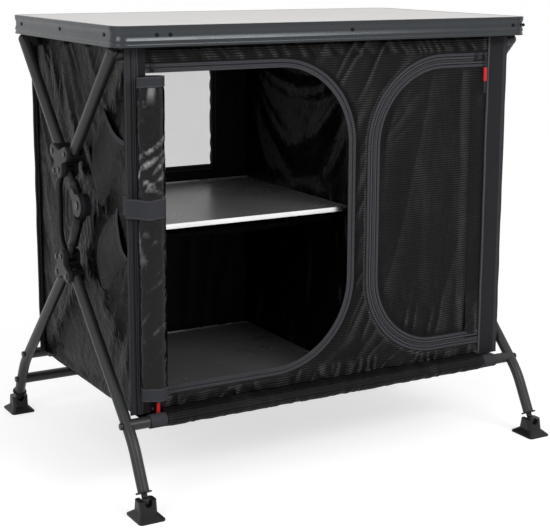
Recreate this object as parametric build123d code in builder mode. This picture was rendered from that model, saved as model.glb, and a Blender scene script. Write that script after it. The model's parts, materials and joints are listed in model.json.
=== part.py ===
import os
from math import atan2, degrees, hypot

from build123d import *

os.makedirs("parts", exist_ok=True)

# Camping kitchen unit, millimetres. X to the right, Y to the rear, Z up.
# The origin is on the ground under the middle of the unit.

SIDES = {"left": -1, "right": 1}
ENDS = {"front": -1, "rear": 1}

# Worktop
overall_height = 840.0
worktop_width = 882.0
worktop_depth = 514.0
rim_height = 36.0
rim_corner_radius = 25.0
rim_thickness = 3.7
scoop_depth = 2.0
scoop_top_drop = 7.0
scoop_height = 18.0
bead_depth = 1.2
lip_thickness = 1.6
lip_reach = 9.0
ledge_thickness = 1.5
ledge_reach = 11.0
panel_thickness = 11.8
panel_play = 0.2
panel_sink = 0.2
rim_seam_inset = 25.0
rim_seam_gap = 0.8
screw_radius = 1.6
screw_head_radius = 3.2
screw_head_height = 1.2
screw_reach = 5.0
left_screw_insets = (78.0, 103.0)
right_screw_insets = (37.0, 12.0)
middle_screw_x = 29.0
rear_screw_inset = 103.0
side_screw_inset = 52.0
cradle_width = 44.0
cradle_depth = 30.0
cradle_x = 310.0
cradle_corner = 4.0

# Frame tubes and where their axes run
tube_diameter = 21.0
tube_wall = 1.5
side_plane_inset = 11.0
top_rail_inset = 41.5
top_rail_drop = 49.0
strut_start_y = 24.0
strut_start_z = 592.0
strut_overrun = 6.0
leg_start_y = 18.0
leg_start_z = 374.0
leg_bend_reach = 62.5
leg_bend_z = 119.0
leg_bend_radius = 170.0
leg_end_reach = 102.5
leg_end_z = 44.0
bottom_rail_z = 144.0
crossbar_z = 76.0
rivet_inset = 9.0

# Hubs and the folding link
upper_hub_z = 588.0
lower_hub_z = 380.0
hub_inner_gap = 0.5
cheek_thickness = 4.0
cover_thickness = 4.0
hub_edge_round = 2.5
hub_web_round = 6.0
upper_pin_z = 566.0
lower_pin_z = 402.0
knuckle_y = -64.0
knuckle_z = 508.0
pin_radius = 3.0
pin_running_gap = 0.05
rivet_head_radius = 5.0
rivet_head_height = 1.6
link_radius = 7.0
link_eye_radius = 8.5
link_side_play = 0.75
link_eye_gap = 1.0
hub_slot_reach = 60.0
upper_arm_width = 27.0
upper_nose_width = 30.0
upper_boss_width = 18.0
lower_arm_width = 25.0
lower_nose_width = 24.0
lower_boss_width = 16.0
boss_shift = 8.0
knuckle_radius = 21.0
knuckle_thickness = 21.0
knuckle_split = 0.6
knuckle_clear = 8.0
knuckle_neck_width = 17.2
collar_radius = 9.6
collar_length = 13.0
collar_ribs = 3
collar_groove = 1.0
knuckle_pin_radius = 5.0
knuckle_pin_head = 8.0
strip_thickness = 3.0
strip_width = 14.0
strip_bow_y = 50.0
strip_end_y = 24.0
strip_end_inset = 4.0
strip_pin_gap = 1.25
strip_corner_drop = 26.0
strip_corner_radius = 22.0

# Red lock buttons in the rear struts
button_radius = 3.5
button_gap = 0.1
button_proud = 4.0
button_inside = 2.0
button_along = 30.0

# Bolts, end blocks and feet
bolt_radius = 3.0
bolt_head_radius = 6.5
bolt_head_height = 4.0
bolt_head_round = 2.0
bolt_reach = 12.0
end_block_length = 24.0
plug_length = 16.0
flange_radius = 14.5
flange_thickness = 2.6
flange_teeth = 14
tooth_radius = 1.6
neck_radius = 5.5
ball_radius = 9.0
ball_drop = 17.0
socket_gap = 0.3
foot_length = 63.0
foot_width = 50.0
foot_edge = 3.0
foot_waist = 12.0
foot_waist_length = 36.0
foot_waist_width = 32.0
foot_saddle_length = 25.0
foot_saddle_width = 34.0
foot_groove_gap = 1.0
foot_corner = 7.0

# Cupboard cloth
cloth = 1.5
cloth_gap = 0.5
wall_inset = 27.0
floor_rise = 8.0
divider_x = 68.0
sleeve_wall = 2.0
sleeve_play = 0.5
sleeve_inset = 17.0
front_sleeve_inset = 47.0
strap_width = 32.0
tape_thickness = 1.2
tape_width = 14.0
zip_gap = 2.0
left_opening_inset = 13.0
left_opening_gap = 25.0
left_opening_rise = 43.0
left_opening_drop = 41.0
left_opening_radii = (160.0, 150.0)
door_inset = 41.0
door_gap = 30.0
door_rise = 40.0
door_drop = 44.0
door_fold_inset = 75.0
door_radii = (152.0, 158.0)
window_inset = 28.0
window_gap = 82.0
window_rise = 30.0
window_drop = 41.0
window_binding_width = 12.0
corner_strip_width = 30.0
corner_flange = 9.0
post_strip_width = 40.0
roll_inset = 34.5
roll_width = 49.0
roll_depth = 34.0
roll_rise = 31.0
roll_drop = 46.0
top_strap_height = 19.0
middle_strap_rise = 25.0
middle_strap_height = 35.0
low_strap_height = 24.0
roll_strap_thickness = 1.4
pocket_thickness = 11.0
pocket_front_inset = 6.0
pocket_corner = 6.0
pocket_side_taper = 30.0
pocket_rear_bulge = 0.17
pocket_front_rise = 0.33
upper_pocket = (-140.0, 527.0, 700.0, 640.0)
lower_pocket = (-150.0, 343.0, 516.0, 456.0)

# Boards
board_thickness = 7.0
board_end_gap = 23.0
board_edge_gap = 6.0
shelf_top_z = 485.0
trim_height = 9.0
trim_thickness = 2.0
hammock_sag = 12.0

# Zip hardware
slider_width = 9.0
slider_height = 14.0
slider_thickness = 3.5
door_slider_inset = 26.0
parked_slider_inset = 8.0
pull_width = 7.0
door_pull_length = 34.0
left_pull_length = 20.0
pull_gap = 0.3
pull_thickness = 2.6
left_slider_inset = 41.0

tube_radius = tube_diameter / 2
bore_radius = tube_radius - tube_wall
half_width = worktop_width / 2
half_depth = worktop_depth / 2
rim_bottom_z = overall_height - rim_height
panel_step_z = overall_height - lip_thickness - panel_play
panel_low_z = panel_step_z - panel_thickness
front_screws_x = (
    *[inset - half_width for inset in left_screw_insets],
    middle_screw_x,
    *[half_width - inset for inset in right_screw_insets],
)
rear_screws_x = (rear_screw_inset - half_width, 0, half_width - rear_screw_inset)
side_screws_y = (side_screw_inset - half_depth, 0, half_depth - side_screw_inset)
side_plane_x = half_width - side_plane_inset
top_rail_y = half_depth - top_rail_inset
top_rail_z = overall_height - top_rail_drop
leg_bend_y = top_rail_y + leg_bend_reach
leg_end_y = top_rail_y + leg_end_reach
hub_inner_x = side_plane_x - tube_radius - hub_inner_gap - cheek_thickness
hub_outer_x = side_plane_x + tube_radius + hub_inner_gap + cheek_thickness + cover_thickness
box_half_x = side_plane_x - wall_inset
box_half_y = top_rail_y + tube_radius + cloth_gap + cloth
cloth_low_z = bottom_rail_z + floor_rise
cloth_top_z = top_rail_z + tube_radius - cloth_gap
left_opening = (
    left_opening_inset - box_half_x,
    divider_x - left_opening_gap,
    cloth_low_z + left_opening_rise,
    cloth_top_z - left_opening_drop,
)
door_outline = (
    box_half_x - door_inset,
    divider_x + door_gap,
    cloth_low_z + door_rise,
    cloth_top_z - door_drop,
)
door_fold_x = box_half_x - door_fold_inset
window_outline = (
    window_inset - box_half_x,
    divider_x - window_gap,
    shelf_top_z + window_rise,
    cloth_top_z - window_drop,
)
sleeve_half_x = box_half_x - sleeve_inset
front_sleeve_left_x = front_sleeve_inset - box_half_x
roll_center_x = roll_inset - box_half_x
roll_low_z = cloth_low_z + roll_rise
roll_top_z = cloth_top_z - roll_drop
roll_strap_levels = (
    (roll_top_z - top_strap_height, roll_top_z),
    (shelf_top_z + middle_strap_rise, shelf_top_z + middle_strap_rise + middle_strap_height),
    (roll_low_z, roll_low_z + low_strap_height),
)
board_half_y = box_half_y - board_end_gap


def save(piece, label):
    """Label a finished piece and write it as its own STEP file."""
    piece.label = label
    export_step(piece, f"parts/{label}.step")


def unit(start, end):
    """Unit direction in the YZ plane from one (y, z) point to another."""
    length = hypot(end[0] - start[0], end[1] - start[1])
    return ((end[0] - start[0]) / length, (end[1] - start[1]) / length)


def along(start, direction, distance):
    """The (y, z) point at a distance along a direction."""
    return (start[0] + direction[0] * distance, start[1] + direction[1] * distance)


strut_way = unit((strut_start_y, strut_start_z), (top_rail_y, top_rail_z))
strut_end = along((top_rail_y, top_rail_z), strut_way, strut_overrun)
strut_rivet = along((strut_start_y, strut_start_z), strut_way, rivet_inset)
leg_way = unit((leg_start_y, leg_start_z), (leg_bend_y, leg_bend_z))
shin_way = unit((leg_bend_y, leg_bend_z), (leg_end_y, leg_end_z))
leg_rivet = along((leg_start_y, leg_start_z), leg_way, rivet_inset)
ball_center = along((leg_end_y, leg_end_z), shin_way, ball_drop)
bottom_rail_y = leg_start_y + (leg_start_z - bottom_rail_z) * leg_way[0] / -leg_way[1]
crossbar_y = leg_bend_y + (leg_bend_z - crossbar_z) * shin_way[0] / -shin_way[1]


def tube_plane(x, point, way, end):
    """Plane square to a tube of the side frame; end mirrors it to the front."""
    return Plane(origin=(x, end * point[0], point[1]), x_dir=(1, 0, 0), z_dir=(0, end * way[0], way[1]))


def ring():
    """Cross-section of a frame tube."""
    Circle(tube_radius)
    Circle(bore_radius, mode=Mode.SUBTRACT)


def arm(start, end, width):
    """Rounded bar between two points of a sketch."""
    with Locations(((start[0] + end[0]) / 2, (start[1] + end[1]) / 2)):
        SlotCenterToCenter(
            hypot(end[0] - start[0], end[1] - start[1]),
            width,
            rotation=degrees(atan2(end[1] - start[1], end[0] - start[0])),
        )


def d_outline(straight_x, round_x, low, high, radius_low, radius_high, mode=Mode.ADD):
    """Face with one straight side and two rounded corners, as on a zipped opening."""
    with BuildLine() as outline:
        FilletPolyline(
            (straight_x, low),
            (round_x, low),
            (round_x, high),
            (straight_x, high),
            radius=[radius_low, radius_high],
        )
        Line((straight_x, high), (straight_x, low))
    make_face(outline.edges(), mode=mode)


# Worktop: a laminated panel, stepped at its edge, in an extruded rim

with BuildPart() as worktop_panel:
    for low_z, high_z, edge in (
        (panel_low_z, panel_step_z, rim_thickness + panel_play),
        (panel_step_z, overall_height - panel_sink, lip_reach + panel_play),
    ):
        with BuildSketch(Plane.XY.offset(low_z)):
            RectangleRounded(worktop_width - 2 * edge, worktop_depth - 2 * edge, rim_corner_radius - edge)
        extrude(amount=high_z - low_z)
save(worktop_panel.part, "worktop_panel")

scoop_top_z = overall_height - scoop_top_drop
scoop_low_z = scoop_top_z - scoop_height
bead_step = (scoop_low_z - rim_bottom_z) / 2

with BuildPart() as worktop_rim:
    with BuildLine():
        with BuildSketch(Plane.XY.offset(rim_bottom_z), mode=Mode.PRIVATE) as rim_plan:
            RectangleRounded(worktop_width, worktop_depth, rim_corner_radius)
        add(rim_plan.sketch.faces()[0].outer_wire())
    with BuildSketch(Plane(origin=(0, -half_depth, 0), x_dir=(0, 1, 0), z_dir=(1, 0, 0))):
        with BuildLine():
            Line((0, overall_height), (0, scoop_top_z))
            ThreePointArc(
                (0, scoop_top_z),
                (scoop_depth, (scoop_top_z + scoop_low_z) / 2),
                (0, scoop_low_z),
            )
            Line((0, scoop_low_z), (0, scoop_low_z - bead_step / 2))
            ThreePointArc(
                (0, scoop_low_z - bead_step / 2),
                (bead_depth, scoop_low_z - bead_step),
                (0, scoop_low_z - 3 * bead_step / 2),
            )
            Polyline(
                (0, scoop_low_z - 3 * bead_step / 2),
                (0, rim_bottom_z),
                (rim_thickness, rim_bottom_z),
                (rim_thickness, panel_low_z - ledge_thickness),
                (ledge_reach, panel_low_z - ledge_thickness),
                (ledge_reach, panel_low_z),
                (rim_thickness, panel_low_z),
                (rim_thickness, overall_height - lip_thickness),
                (lip_reach, overall_height - lip_thickness),
                (lip_reach, overall_height),
                (0, overall_height),
            )
        make_face()
    sweep()
    with BuildSketch(Plane.XY.offset(rim_bottom_z)):
        with Locations((half_width - rim_seam_inset, -half_depth)):
            Rectangle(rim_seam_gap, 2 * ledge_reach + rim_seam_gap)
    extrude(amount=rim_height, mode=Mode.SUBTRACT)
    screw_z = (scoop_top_z + scoop_low_z) / 2
    with BuildSketch(Plane.XZ):
        with Locations(*[(x, screw_z) for x in front_screws_x]):
            Circle(screw_radius)
    extrude(amount=half_depth, mode=Mode.SUBTRACT)
    with BuildSketch(Plane.XZ):
        with Locations(*[(x, screw_z) for x in rear_screws_x]):
            Circle(screw_radius)
    extrude(amount=-half_depth, mode=Mode.SUBTRACT)
    with BuildSketch(Plane.YZ):
        with Locations(*[(y, screw_z) for y in side_screws_y]):
            Circle(screw_radius)
    extrude(amount=half_width, both=True, mode=Mode.SUBTRACT)
save(worktop_rim.part, "worktop_rim")

screw_seat = scoop_depth * (1 - (2 * screw_head_radius / scoop_height) ** 2)


def rim_screw(plane, places):
    """Pan-head screws through the bottom of the scoop, on one side of the rim."""
    for radius, length in ((screw_head_radius, screw_head_height), (screw_radius, -screw_reach)):
        with BuildSketch(plane.offset(-screw_seat)) as rounds:
            with Locations(*places):
                Circle(radius)
        extrude(rounds.sketch, amount=length)


with BuildPart() as rim_screws:
    rim_screw(Plane.XZ.offset(half_depth), [(x, screw_z) for x in front_screws_x])
    rear_plane = Plane(origin=(0, half_depth, 0), x_dir=(-1, 0, 0), z_dir=(0, 1, 0))
    rim_screw(rear_plane, [(x, screw_z) for x in rear_screws_x])
    for side in SIDES.values():
        side_plane = Plane(origin=(side * half_width, 0, 0), x_dir=(0, side, 0), z_dir=(side, 0, 0))
        rim_screw(side_plane, [(y, screw_z) for y in side_screws_y])
save(rim_screws.part, "rim_screws")

# Cradles under the panel that straddle the top rails
with BuildPart() as worktop_cradles:
    with BuildSketch(Plane.XY.offset(top_rail_z)):
        with GridLocations(2 * cradle_x, 2 * top_rail_y + tube_diameter - cradle_depth, 2, 2):
            RectangleRounded(cradle_width, cradle_depth, cradle_corner)
    extrude(amount=panel_low_z - top_rail_z)
    with BuildSketch(Plane.YZ):
        with Locations((-top_rail_y, top_rail_z), (top_rail_y, top_rail_z)):
            Circle(tube_radius + hub_inner_gap)
    extrude(amount=half_width, both=True, mode=Mode.SUBTRACT)
save(worktop_cradles.part, "worktop_cradles")

# Struts of the upper frame, each a straight tube with a rivet hole at the hub
for end_name, end in ENDS.items():
    with BuildPart() as struts:
        for side in SIDES.values():
            x = side * side_plane_x
            with BuildSketch(tube_plane(x, (strut_start_y, strut_start_z), strut_way, end)):
                ring()
        extrude(amount=hypot(strut_end[0] - strut_start_y, strut_end[1] - strut_start_z))
        with BuildSketch(Plane.YZ):
            with Locations((end * strut_rivet[0], strut_rivet[1])):
                Circle(pin_radius)
        extrude(amount=hub_outer_x, both=True, mode=Mode.SUBTRACT)
        if end_name == "rear":
            button_axis = along((strut_start_y, strut_start_z), strut_way, button_along)
            for side in SIDES.values():
                with BuildSketch(
                    Plane(
                        origin=(side * side_plane_x, button_axis[0], button_axis[1]),
                        x_dir=(1, 0, 0),
                        z_dir=(0, strut_way[1], -strut_way[0]),
                    )
                ):
                    Circle(button_radius + button_gap)
                extrude(amount=tube_diameter, mode=Mode.SUBTRACT)
    save(struts.part, f"{end_name}_struts")

# Red buttons that lock the rear struts to the hub
for side_name, side in SIDES.items():
    with BuildPart() as lock_button:
        with BuildSketch(
            Plane(
                origin=(side * side_plane_x, button_axis[0], button_axis[1]),
                x_dir=(1, 0, 0),
                z_dir=(0, strut_way[1], -strut_way[0]),
            ).offset(button_inside)
        ):
            Circle(button_radius)
        extrude(amount=tube_radius + button_proud - button_inside)
        fillet(lock_button.faces().sort_by(Axis.Y)[-1].edges(), button_radius / 3)
    save(lock_button.part, f"lock_button_{side_name}")


def coped_bar(bar_y, bar_z, radius, inner_radius, inboard_x, way, end):
    """Bar along X whose ends are cut to sit on the side tubes."""
    with BuildSketch(Plane.YZ.offset(inboard_x)) as section:
        with Locations((bar_y, bar_z)):
            Circle(radius)
            if inner_radius:
                Circle(inner_radius, mode=Mode.SUBTRACT)
    extrude(section.sketch, amount=side_plane_x - inboard_x)
    with BuildSketch(tube_plane(side_plane_x, (abs(bar_y), bar_z), way, end)) as cope:
        Circle(tube_radius)
    extrude(cope.sketch, amount=3 * tube_diameter, both=True, mode=Mode.SUBTRACT)


def rail(bar_y, bar_z, way, end, label):
    """Cross rail between the two ends of the frame."""
    with BuildPart() as bar:
        coped_bar(bar_y, bar_z, tube_radius, bore_radius, 0, way, end)
        mirror(about=Plane.YZ)
    save(bar.part, label)


rail(-top_rail_y, top_rail_z, strut_way, -1, "top_front_rail")
rail(top_rail_y, top_rail_z, strut_way, 1, "top_rear_rail")
rail(-bottom_rail_y, bottom_rail_z, leg_way, -1, "front_bottom_rail")
rail(bottom_rail_y, bottom_rail_z, leg_way, 1, "rear_bottom_rail")
rail(crossbar_y, crossbar_z, shin_way, 1, "rear_crossbar")


def rivet_row(pins):
    """Rivets through the cheeks of the right-hand hub."""
    for start, length, radius in (
        (hub_inner_x, hub_outer_x - hub_inner_x, pin_radius),
        (hub_inner_x, -rivet_head_height, rivet_head_radius),
        (hub_outer_x, rivet_head_height, rivet_head_radius),
    ):
        with BuildSketch(Plane.YZ.offset(start)) as rounds:
            with Locations(*pins):
                Circle(radius)
        extrude(rounds.sketch, amount=length)


upper_strip_end = (strip_end_y, upper_pin_z - strip_end_inset)
lower_strip_end = (strip_end_y, lower_pin_z - strip_end_inset)
upper_pins = (
    (-strut_rivet[0], strut_rivet[1]),
    strut_rivet,
    (0, upper_pin_z),
    upper_strip_end,
)
lower_pins = (
    (-leg_rivet[0], leg_rivet[1]),
    leg_rivet,
    (0, lower_pin_z),
    lower_strip_end,
)

bolted_bars = (
    (-bottom_rail_y, bottom_rail_z, leg_way, -1),
    (bottom_rail_y, bottom_rail_z, leg_way, 1),
    (crossbar_y, crossbar_z, shin_way, 1),
)

with BuildPart() as rail_end_blocks:
    for bar_y, bar_z, way, end in bolted_bars:
        with BuildSketch(Plane.YZ.offset(side_plane_x - tube_radius - end_block_length)):
            with Locations((bar_y, bar_z)):
                Circle(bore_radius)
        extrude(amount=end_block_length + tube_radius)
        with BuildSketch(tube_plane(side_plane_x, (abs(bar_y), bar_z), way, end)):
            Circle(tube_radius)
        extrude(amount=2 * tube_diameter, both=True, mode=Mode.SUBTRACT)
        with BuildSketch(Plane.YZ.offset(side_plane_x)):
            with Locations((bar_y, bar_z)):
                Circle(bolt_radius)
        extrude(amount=-tube_radius - bolt_reach, mode=Mode.SUBTRACT)
    mirror(about=Plane.YZ)
save(rail_end_blocks.part, "rail_end_blocks")

with BuildPart() as lower_fasteners:
    with BuildSketch(Plane.YZ.offset(side_plane_x + tube_radius)):
        with Locations(*[(bar[0], bar[1]) for bar in bolted_bars]):
            Circle(bolt_head_radius)
    extrude(amount=bolt_head_height)
    fillet(lower_fasteners.faces().group_by(Axis.X)[-1].edges(), bolt_head_round)
    with BuildSketch(Plane.YZ.offset(side_plane_x + tube_radius)):
        with Locations(*[(bar[0], bar[1]) for bar in bolted_bars]):
            Circle(bolt_radius)
    extrude(amount=-tube_diameter - bolt_reach)
    rivet_row(lower_pins)
    mirror(about=Plane.YZ)
save(lower_fasteners.part, "lower_fasteners")

# Legs: one bend above the foot, bolted to the rails, riveted in the lower hub
for side_name, side in SIDES.items():
    for end_name, end in ENDS.items():
        leg_x = side * side_plane_x
        with BuildPart() as leg:
            with BuildLine():
                FilletPolyline(
                    (leg_x, end * leg_start_y, leg_start_z),
                    (leg_x, end * leg_bend_y, leg_bend_z),
                    (leg_x, end * leg_end_y, leg_end_z),
                    radius=leg_bend_radius,
                )
            with BuildSketch(tube_plane(leg_x, (leg_start_y, leg_start_z), leg_way, end)):
                ring()
            sweep()
            with BuildSketch(Plane.YZ.offset(leg_x - tube_diameter)):
                with Locations((end * leg_rivet[0], leg_rivet[1])):
                    Circle(pin_radius)
                with Locations((end * bottom_rail_y, bottom_rail_z)):
                    Circle(bolt_radius)
                if end_name == "rear":
                    with Locations((crossbar_y, crossbar_z)):
                        Circle(bolt_radius)
            extrude(amount=2 * tube_diameter, mode=Mode.SUBTRACT)
        save(leg.part, f"{end_name}_leg_{side_name}")

# Leg plugs: stem in the tube, toothed flange, neck and ball
with BuildPart() as leg_plugs:
    for side in SIDES.values():
        for end in ENDS.values():
            seat = tube_plane(side * side_plane_x, (leg_end_y, leg_end_z), shin_way, end)
            with BuildSketch(seat):
                Circle(bore_radius)
            extrude(amount=-plug_length)
            with BuildSketch(seat):
                Circle(flange_radius)
                with PolarLocations(flange_radius, flange_teeth):
                    Circle(tooth_radius, mode=Mode.SUBTRACT)
            extrude(amount=flange_thickness)
            with BuildSketch(seat.offset(flange_thickness)):
                Circle(neck_radius)
            extrude(amount=ball_drop - flange_thickness)
            with Locations(Plane(origin=(side * side_plane_x, end * ball_center[0], ball_center[1]))):
                Sphere(ball_radius)
save(leg_plugs.part, "leg_plugs")

# Feet: a pad that rises into a saddle, grooved for the neck and hollowed for the ball
for side_name, side in SIDES.items():
    for end_name, end in ENDS.items():
        foot_at = Plane(origin=(side * side_plane_x, end * ball_center[0], 0))
        saddle_top = ball_center[1] + ball_radius / 2
        with BuildPart() as foot:
            with BuildSketch(foot_at):
                RectangleRounded(foot_width, foot_length, foot_corner)
            extrude(amount=foot_edge)
            with BuildSketch(foot_at.offset(foot_edge)):
                RectangleRounded(foot_width, foot_length, foot_corner)
            with BuildSketch(foot_at.offset(foot_waist)):
                RectangleRounded(foot_waist_width, foot_waist_length, foot_corner)
            with BuildSketch(foot_at.offset(saddle_top)):
                RectangleRounded(foot_saddle_width, foot_saddle_length, foot_corner)
            loft(ruled=True)
            with BuildSketch(Plane.XZ.offset(-end * ball_center[0])):
                with Locations((side * side_plane_x, ball_center[1])):
                    Circle(neck_radius + foot_groove_gap)
                with Locations((side * side_plane_x, ball_center[1] + ball_radius)):
                    Rectangle(2 * (neck_radius + foot_groove_gap), 2 * ball_radius)
            extrude(amount=foot_length / 2, both=True, mode=Mode.SUBTRACT)
            with Locations(Plane(origin=(side * side_plane_x, end * ball_center[0], ball_center[1]))):
                Sphere(ball_radius + socket_gap, mode=Mode.SUBTRACT)
        save(foot.part, f"{end_name}_foot_{side_name}")

# Hubs: two cheeks and a crowned cover round a core, slotted for tubes, link and strip


def hub(side, arms, tube_slots, link_slot, pins, label):
    """One hub; slots are (point, way) pairs for tubes and one box for the link."""
    inner = Plane.YZ.offset(side * hub_inner_x)
    with BuildPart() as body:
        with BuildSketch(inner):
            for start, finish, width in arms:
                arm(start, finish, width)
            offset(amount=hub_web_round)
            offset(amount=-hub_web_round)
        extrude(amount=side * (hub_outer_x - hub_inner_x))
        fillet(body.faces().sort_by(Axis.X)[-1 if side > 0 else 0].edges(), hub_edge_round)
        for point, way, end in tube_slots:
            slot_start = along(point, way, -hub_inner_gap)
            with BuildSketch(tube_plane(side * side_plane_x, slot_start, way, end)):
                Rectangle(tube_diameter + 2 * hub_inner_gap, tube_diameter + 2 * hub_inner_gap)
            extrude(amount=3 * tube_diameter, mode=Mode.SUBTRACT)
        low_y, high_y, low_z, high_z = link_slot
        with BuildSketch(Plane.YZ.offset(side * side_plane_x)):
            with Locations(((low_y + high_y) / 2, (low_z + high_z) / 2)):
                Rectangle(high_y - low_y, high_z - low_z)
        extrude(amount=link_radius + link_side_play, both=True, mode=Mode.SUBTRACT)
        with BuildSketch(inner):
            with Locations(*pins):
                Circle(pin_radius)
        extrude(amount=side * (hub_outer_x - hub_inner_x), mode=Mode.SUBTRACT)
    save(body.part, label)


for side_name, side in SIDES.items():
    hub(
        side,
        (
            ((0, upper_hub_z), strut_rivet, upper_arm_width),
            ((0, upper_hub_z), (-strut_rivet[0], strut_rivet[1]), upper_arm_width),
            ((0, upper_hub_z), (0, upper_pin_z), upper_nose_width),
            ((0, upper_hub_z - boss_shift), upper_strip_end, upper_boss_width),
        ),
        (((strut_start_y, strut_start_z), strut_way, 1), ((strut_start_y, strut_start_z), strut_way, -1)),
        (-hub_slot_reach, hub_slot_reach, upper_pin_z - hub_slot_reach, upper_pin_z + link_eye_radius + link_eye_gap),
        upper_pins,
        f"upper_hub_{side_name}",
    )
    hub(
        side,
        (
            ((0, lower_hub_z), leg_rivet, lower_arm_width),
            ((0, lower_hub_z), (-leg_rivet[0], leg_rivet[1]), lower_arm_width),
            ((0, lower_hub_z), (0, lower_pin_z), lower_nose_width),
            ((0, lower_hub_z + boss_shift), lower_strip_end, lower_boss_width),
        ),
        (((leg_start_y, leg_start_z), leg_way, 1), ((leg_start_y, leg_start_z), leg_way, -1)),
        (-hub_slot_reach, hub_slot_reach, lower_pin_z - link_eye_radius - link_eye_gap, lower_pin_z + hub_slot_reach),
        lower_pins,
        f"lower_hub_{side_name}",
    )

with BuildPart() as upper_hub_rivets:
    rivet_row(upper_pins)
    mirror(about=Plane.YZ)
save(upper_hub_rivets.part, "upper_hub_rivets")

# Folding link: two bars that meet at the knuckle, each with half of the round housing


def link(side, pin_z, outboard, label):
    """Bar from a hub pin to the knuckle, with its eye, ribbed collar and half housing."""
    pin = (0.0, pin_z)
    knuckle = (knuckle_y, knuckle_z)
    way = unit(pin, knuckle)
    reach = hypot(knuckle[0] - pin[0], knuckle[1] - pin[1])
    half = (knuckle_thickness - knuckle_split) / 2
    half_start = knuckle_split / 2 if outboard else -knuckle_split / 2 - half
    bar_plane = Plane(origin=(side * side_plane_x, pin[0], pin[1]), x_dir=(1, 0, 0), z_dir=(0, way[0], way[1]))
    collar_start = reach - knuckle_radius - knuckle_clear - collar_length
    with BuildPart() as bar:
        with BuildSketch(Plane.YZ.offset(side * side_plane_x)):
            with Locations(pin):
                Circle(link_eye_radius)
        extrude(amount=link_radius, both=True)
        with BuildSketch(bar_plane):
            Circle(link_radius)
        extrude(amount=collar_start + collar_length)
        with BuildSketch(bar_plane.offset(collar_start)):
            Circle(collar_radius - collar_groove)
        extrude(amount=collar_length)
        rib_pitch = collar_length / collar_ribs
        for rib in range(collar_ribs):
            with BuildSketch(bar_plane.offset(collar_start + rib * rib_pitch)):
                Circle(collar_radius)
            extrude(amount=rib_pitch / 2)
        half_plane = Plane.YZ.offset(side * (side_plane_x + half_start))
        with BuildSketch(half_plane):
            arm(along(pin, way, collar_start + collar_length), knuckle, knuckle_neck_width)
            with Locations(knuckle):
                Circle(knuckle_radius)
        extrude(amount=side * half)
        with BuildSketch(Plane.YZ.offset(side * side_plane_x)):
            with Locations(pin):
                Circle(pin_radius + pin_running_gap)
        extrude(amount=tube_radius, both=True, mode=Mode.SUBTRACT)
        if outboard:
            with BuildSketch(half_plane):
                with Locations(knuckle):
                    Circle(knuckle_pin_radius)
            extrude(amount=side * half, mode=Mode.SUBTRACT)
    save(bar.part, label)


for side_name, side in SIDES.items():
    link(side, upper_pin_z, True, f"upper_link_{side_name}")
    link(side, lower_pin_z, False, f"lower_link_{side_name}")
    pin_start = side_plane_x + knuckle_split / 2
    pin_length = (knuckle_thickness - knuckle_split) / 2
    with BuildPart() as knuckle_pin:
        with BuildSketch(Plane.YZ.offset(side * pin_start)):
            with Locations((knuckle_y, knuckle_z)):
                Circle(knuckle_pin_radius)
        extrude(amount=side * pin_length)
        with BuildSketch(Plane.YZ.offset(side * (pin_start + pin_length))):
            with Locations((knuckle_y, knuckle_z)):
                Circle(knuckle_pin_head)
        extrude(amount=side * rivet_head_height)
    save(knuckle_pin.part, f"knuckle_pin_{side_name}")

# Bowed spring strips behind the link
with BuildPart() as spring_strips:
    with BuildSketch(Plane.YZ.offset(side_plane_x)):
        with BuildLine():
            FilletPolyline(
                (strip_end_y, upper_strip_end[1] - pin_radius - strip_pin_gap),
                (strip_bow_y, upper_strip_end[1] - strip_corner_drop),
                (strip_bow_y, lower_strip_end[1] + strip_corner_drop),
                (strip_end_y, lower_strip_end[1] + pin_radius + strip_pin_gap),
                radius=strip_corner_radius,
            )
        trace(line_width=strip_thickness)
    extrude(amount=strip_width / 2, both=True)
    mirror(about=Plane.YZ)
save(spring_strips.part, "spring_strips")

# Cupboard walls

front_face = Plane.XZ.offset(box_half_y)
front_back = Plane.XZ.offset(box_half_y - cloth)
rear_back = Plane.XZ.offset(-box_half_y)
wall_middle_z = (cloth_low_z + cloth_top_z) / 2
wall_height = cloth_top_z - cloth_low_z

with BuildPart() as front_panel:
    with BuildSketch(front_back):
        with Locations((0, wall_middle_z)):
            Rectangle(2 * box_half_x, wall_height)
        d_outline(*left_opening, *left_opening_radii, mode=Mode.SUBTRACT)
        d_outline(door_fold_x, *door_outline[1:], *door_radii, mode=Mode.SUBTRACT)
    extrude(amount=cloth)
save(front_panel.part, "front_panel")

window_left, window_right, window_low, window_high = window_outline
window_middle = ((window_left + window_right) / 2, (window_low + window_high) / 2)
window_size = (window_right - window_left, window_high - window_low)

with BuildPart() as rear_panel:
    with BuildSketch(rear_back):
        with Locations((0, wall_middle_z)):
            Rectangle(2 * box_half_x, wall_height)
        with Locations(window_middle):
            Rectangle(*window_size, mode=Mode.SUBTRACT)
    extrude(amount=cloth)
save(rear_panel.part, "rear_panel")

for side_name, side in SIDES.items():
    with BuildPart() as side_panel:
        with BuildSketch(Plane.YZ.offset(side * box_half_x)):
            with Locations((0, wall_middle_z)):
                Rectangle(2 * (box_half_y - cloth), wall_height)
            with Locations((-top_rail_y, cloth_top_z), (top_rail_y, cloth_top_z)):
                Rectangle(
                    2 * (box_half_y - top_rail_y),
                    2 * (cloth_top_z - top_rail_z + tube_radius + cloth_gap),
                    mode=Mode.SUBTRACT,
                )
        extrude(amount=-side * cloth)
    save(side_panel.part, f"{side_name}_panel")

with BuildPart() as divider_panel:
    with BuildSketch(Plane.YZ.offset(divider_x - cloth / 2)):
        with Locations((0, wall_middle_z)):
            Rectangle(2 * (box_half_y - cloth), wall_height)
        with Locations((-top_rail_y, cloth_top_z), (top_rail_y, cloth_top_z)):
            Rectangle(
                2 * (box_half_y - top_rail_y),
                2 * (cloth_top_z - top_rail_z + tube_radius + cloth_gap),
                mode=Mode.SUBTRACT,
            )
    extrude(amount=cloth)
save(divider_panel.part, "divider_panel")

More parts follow.
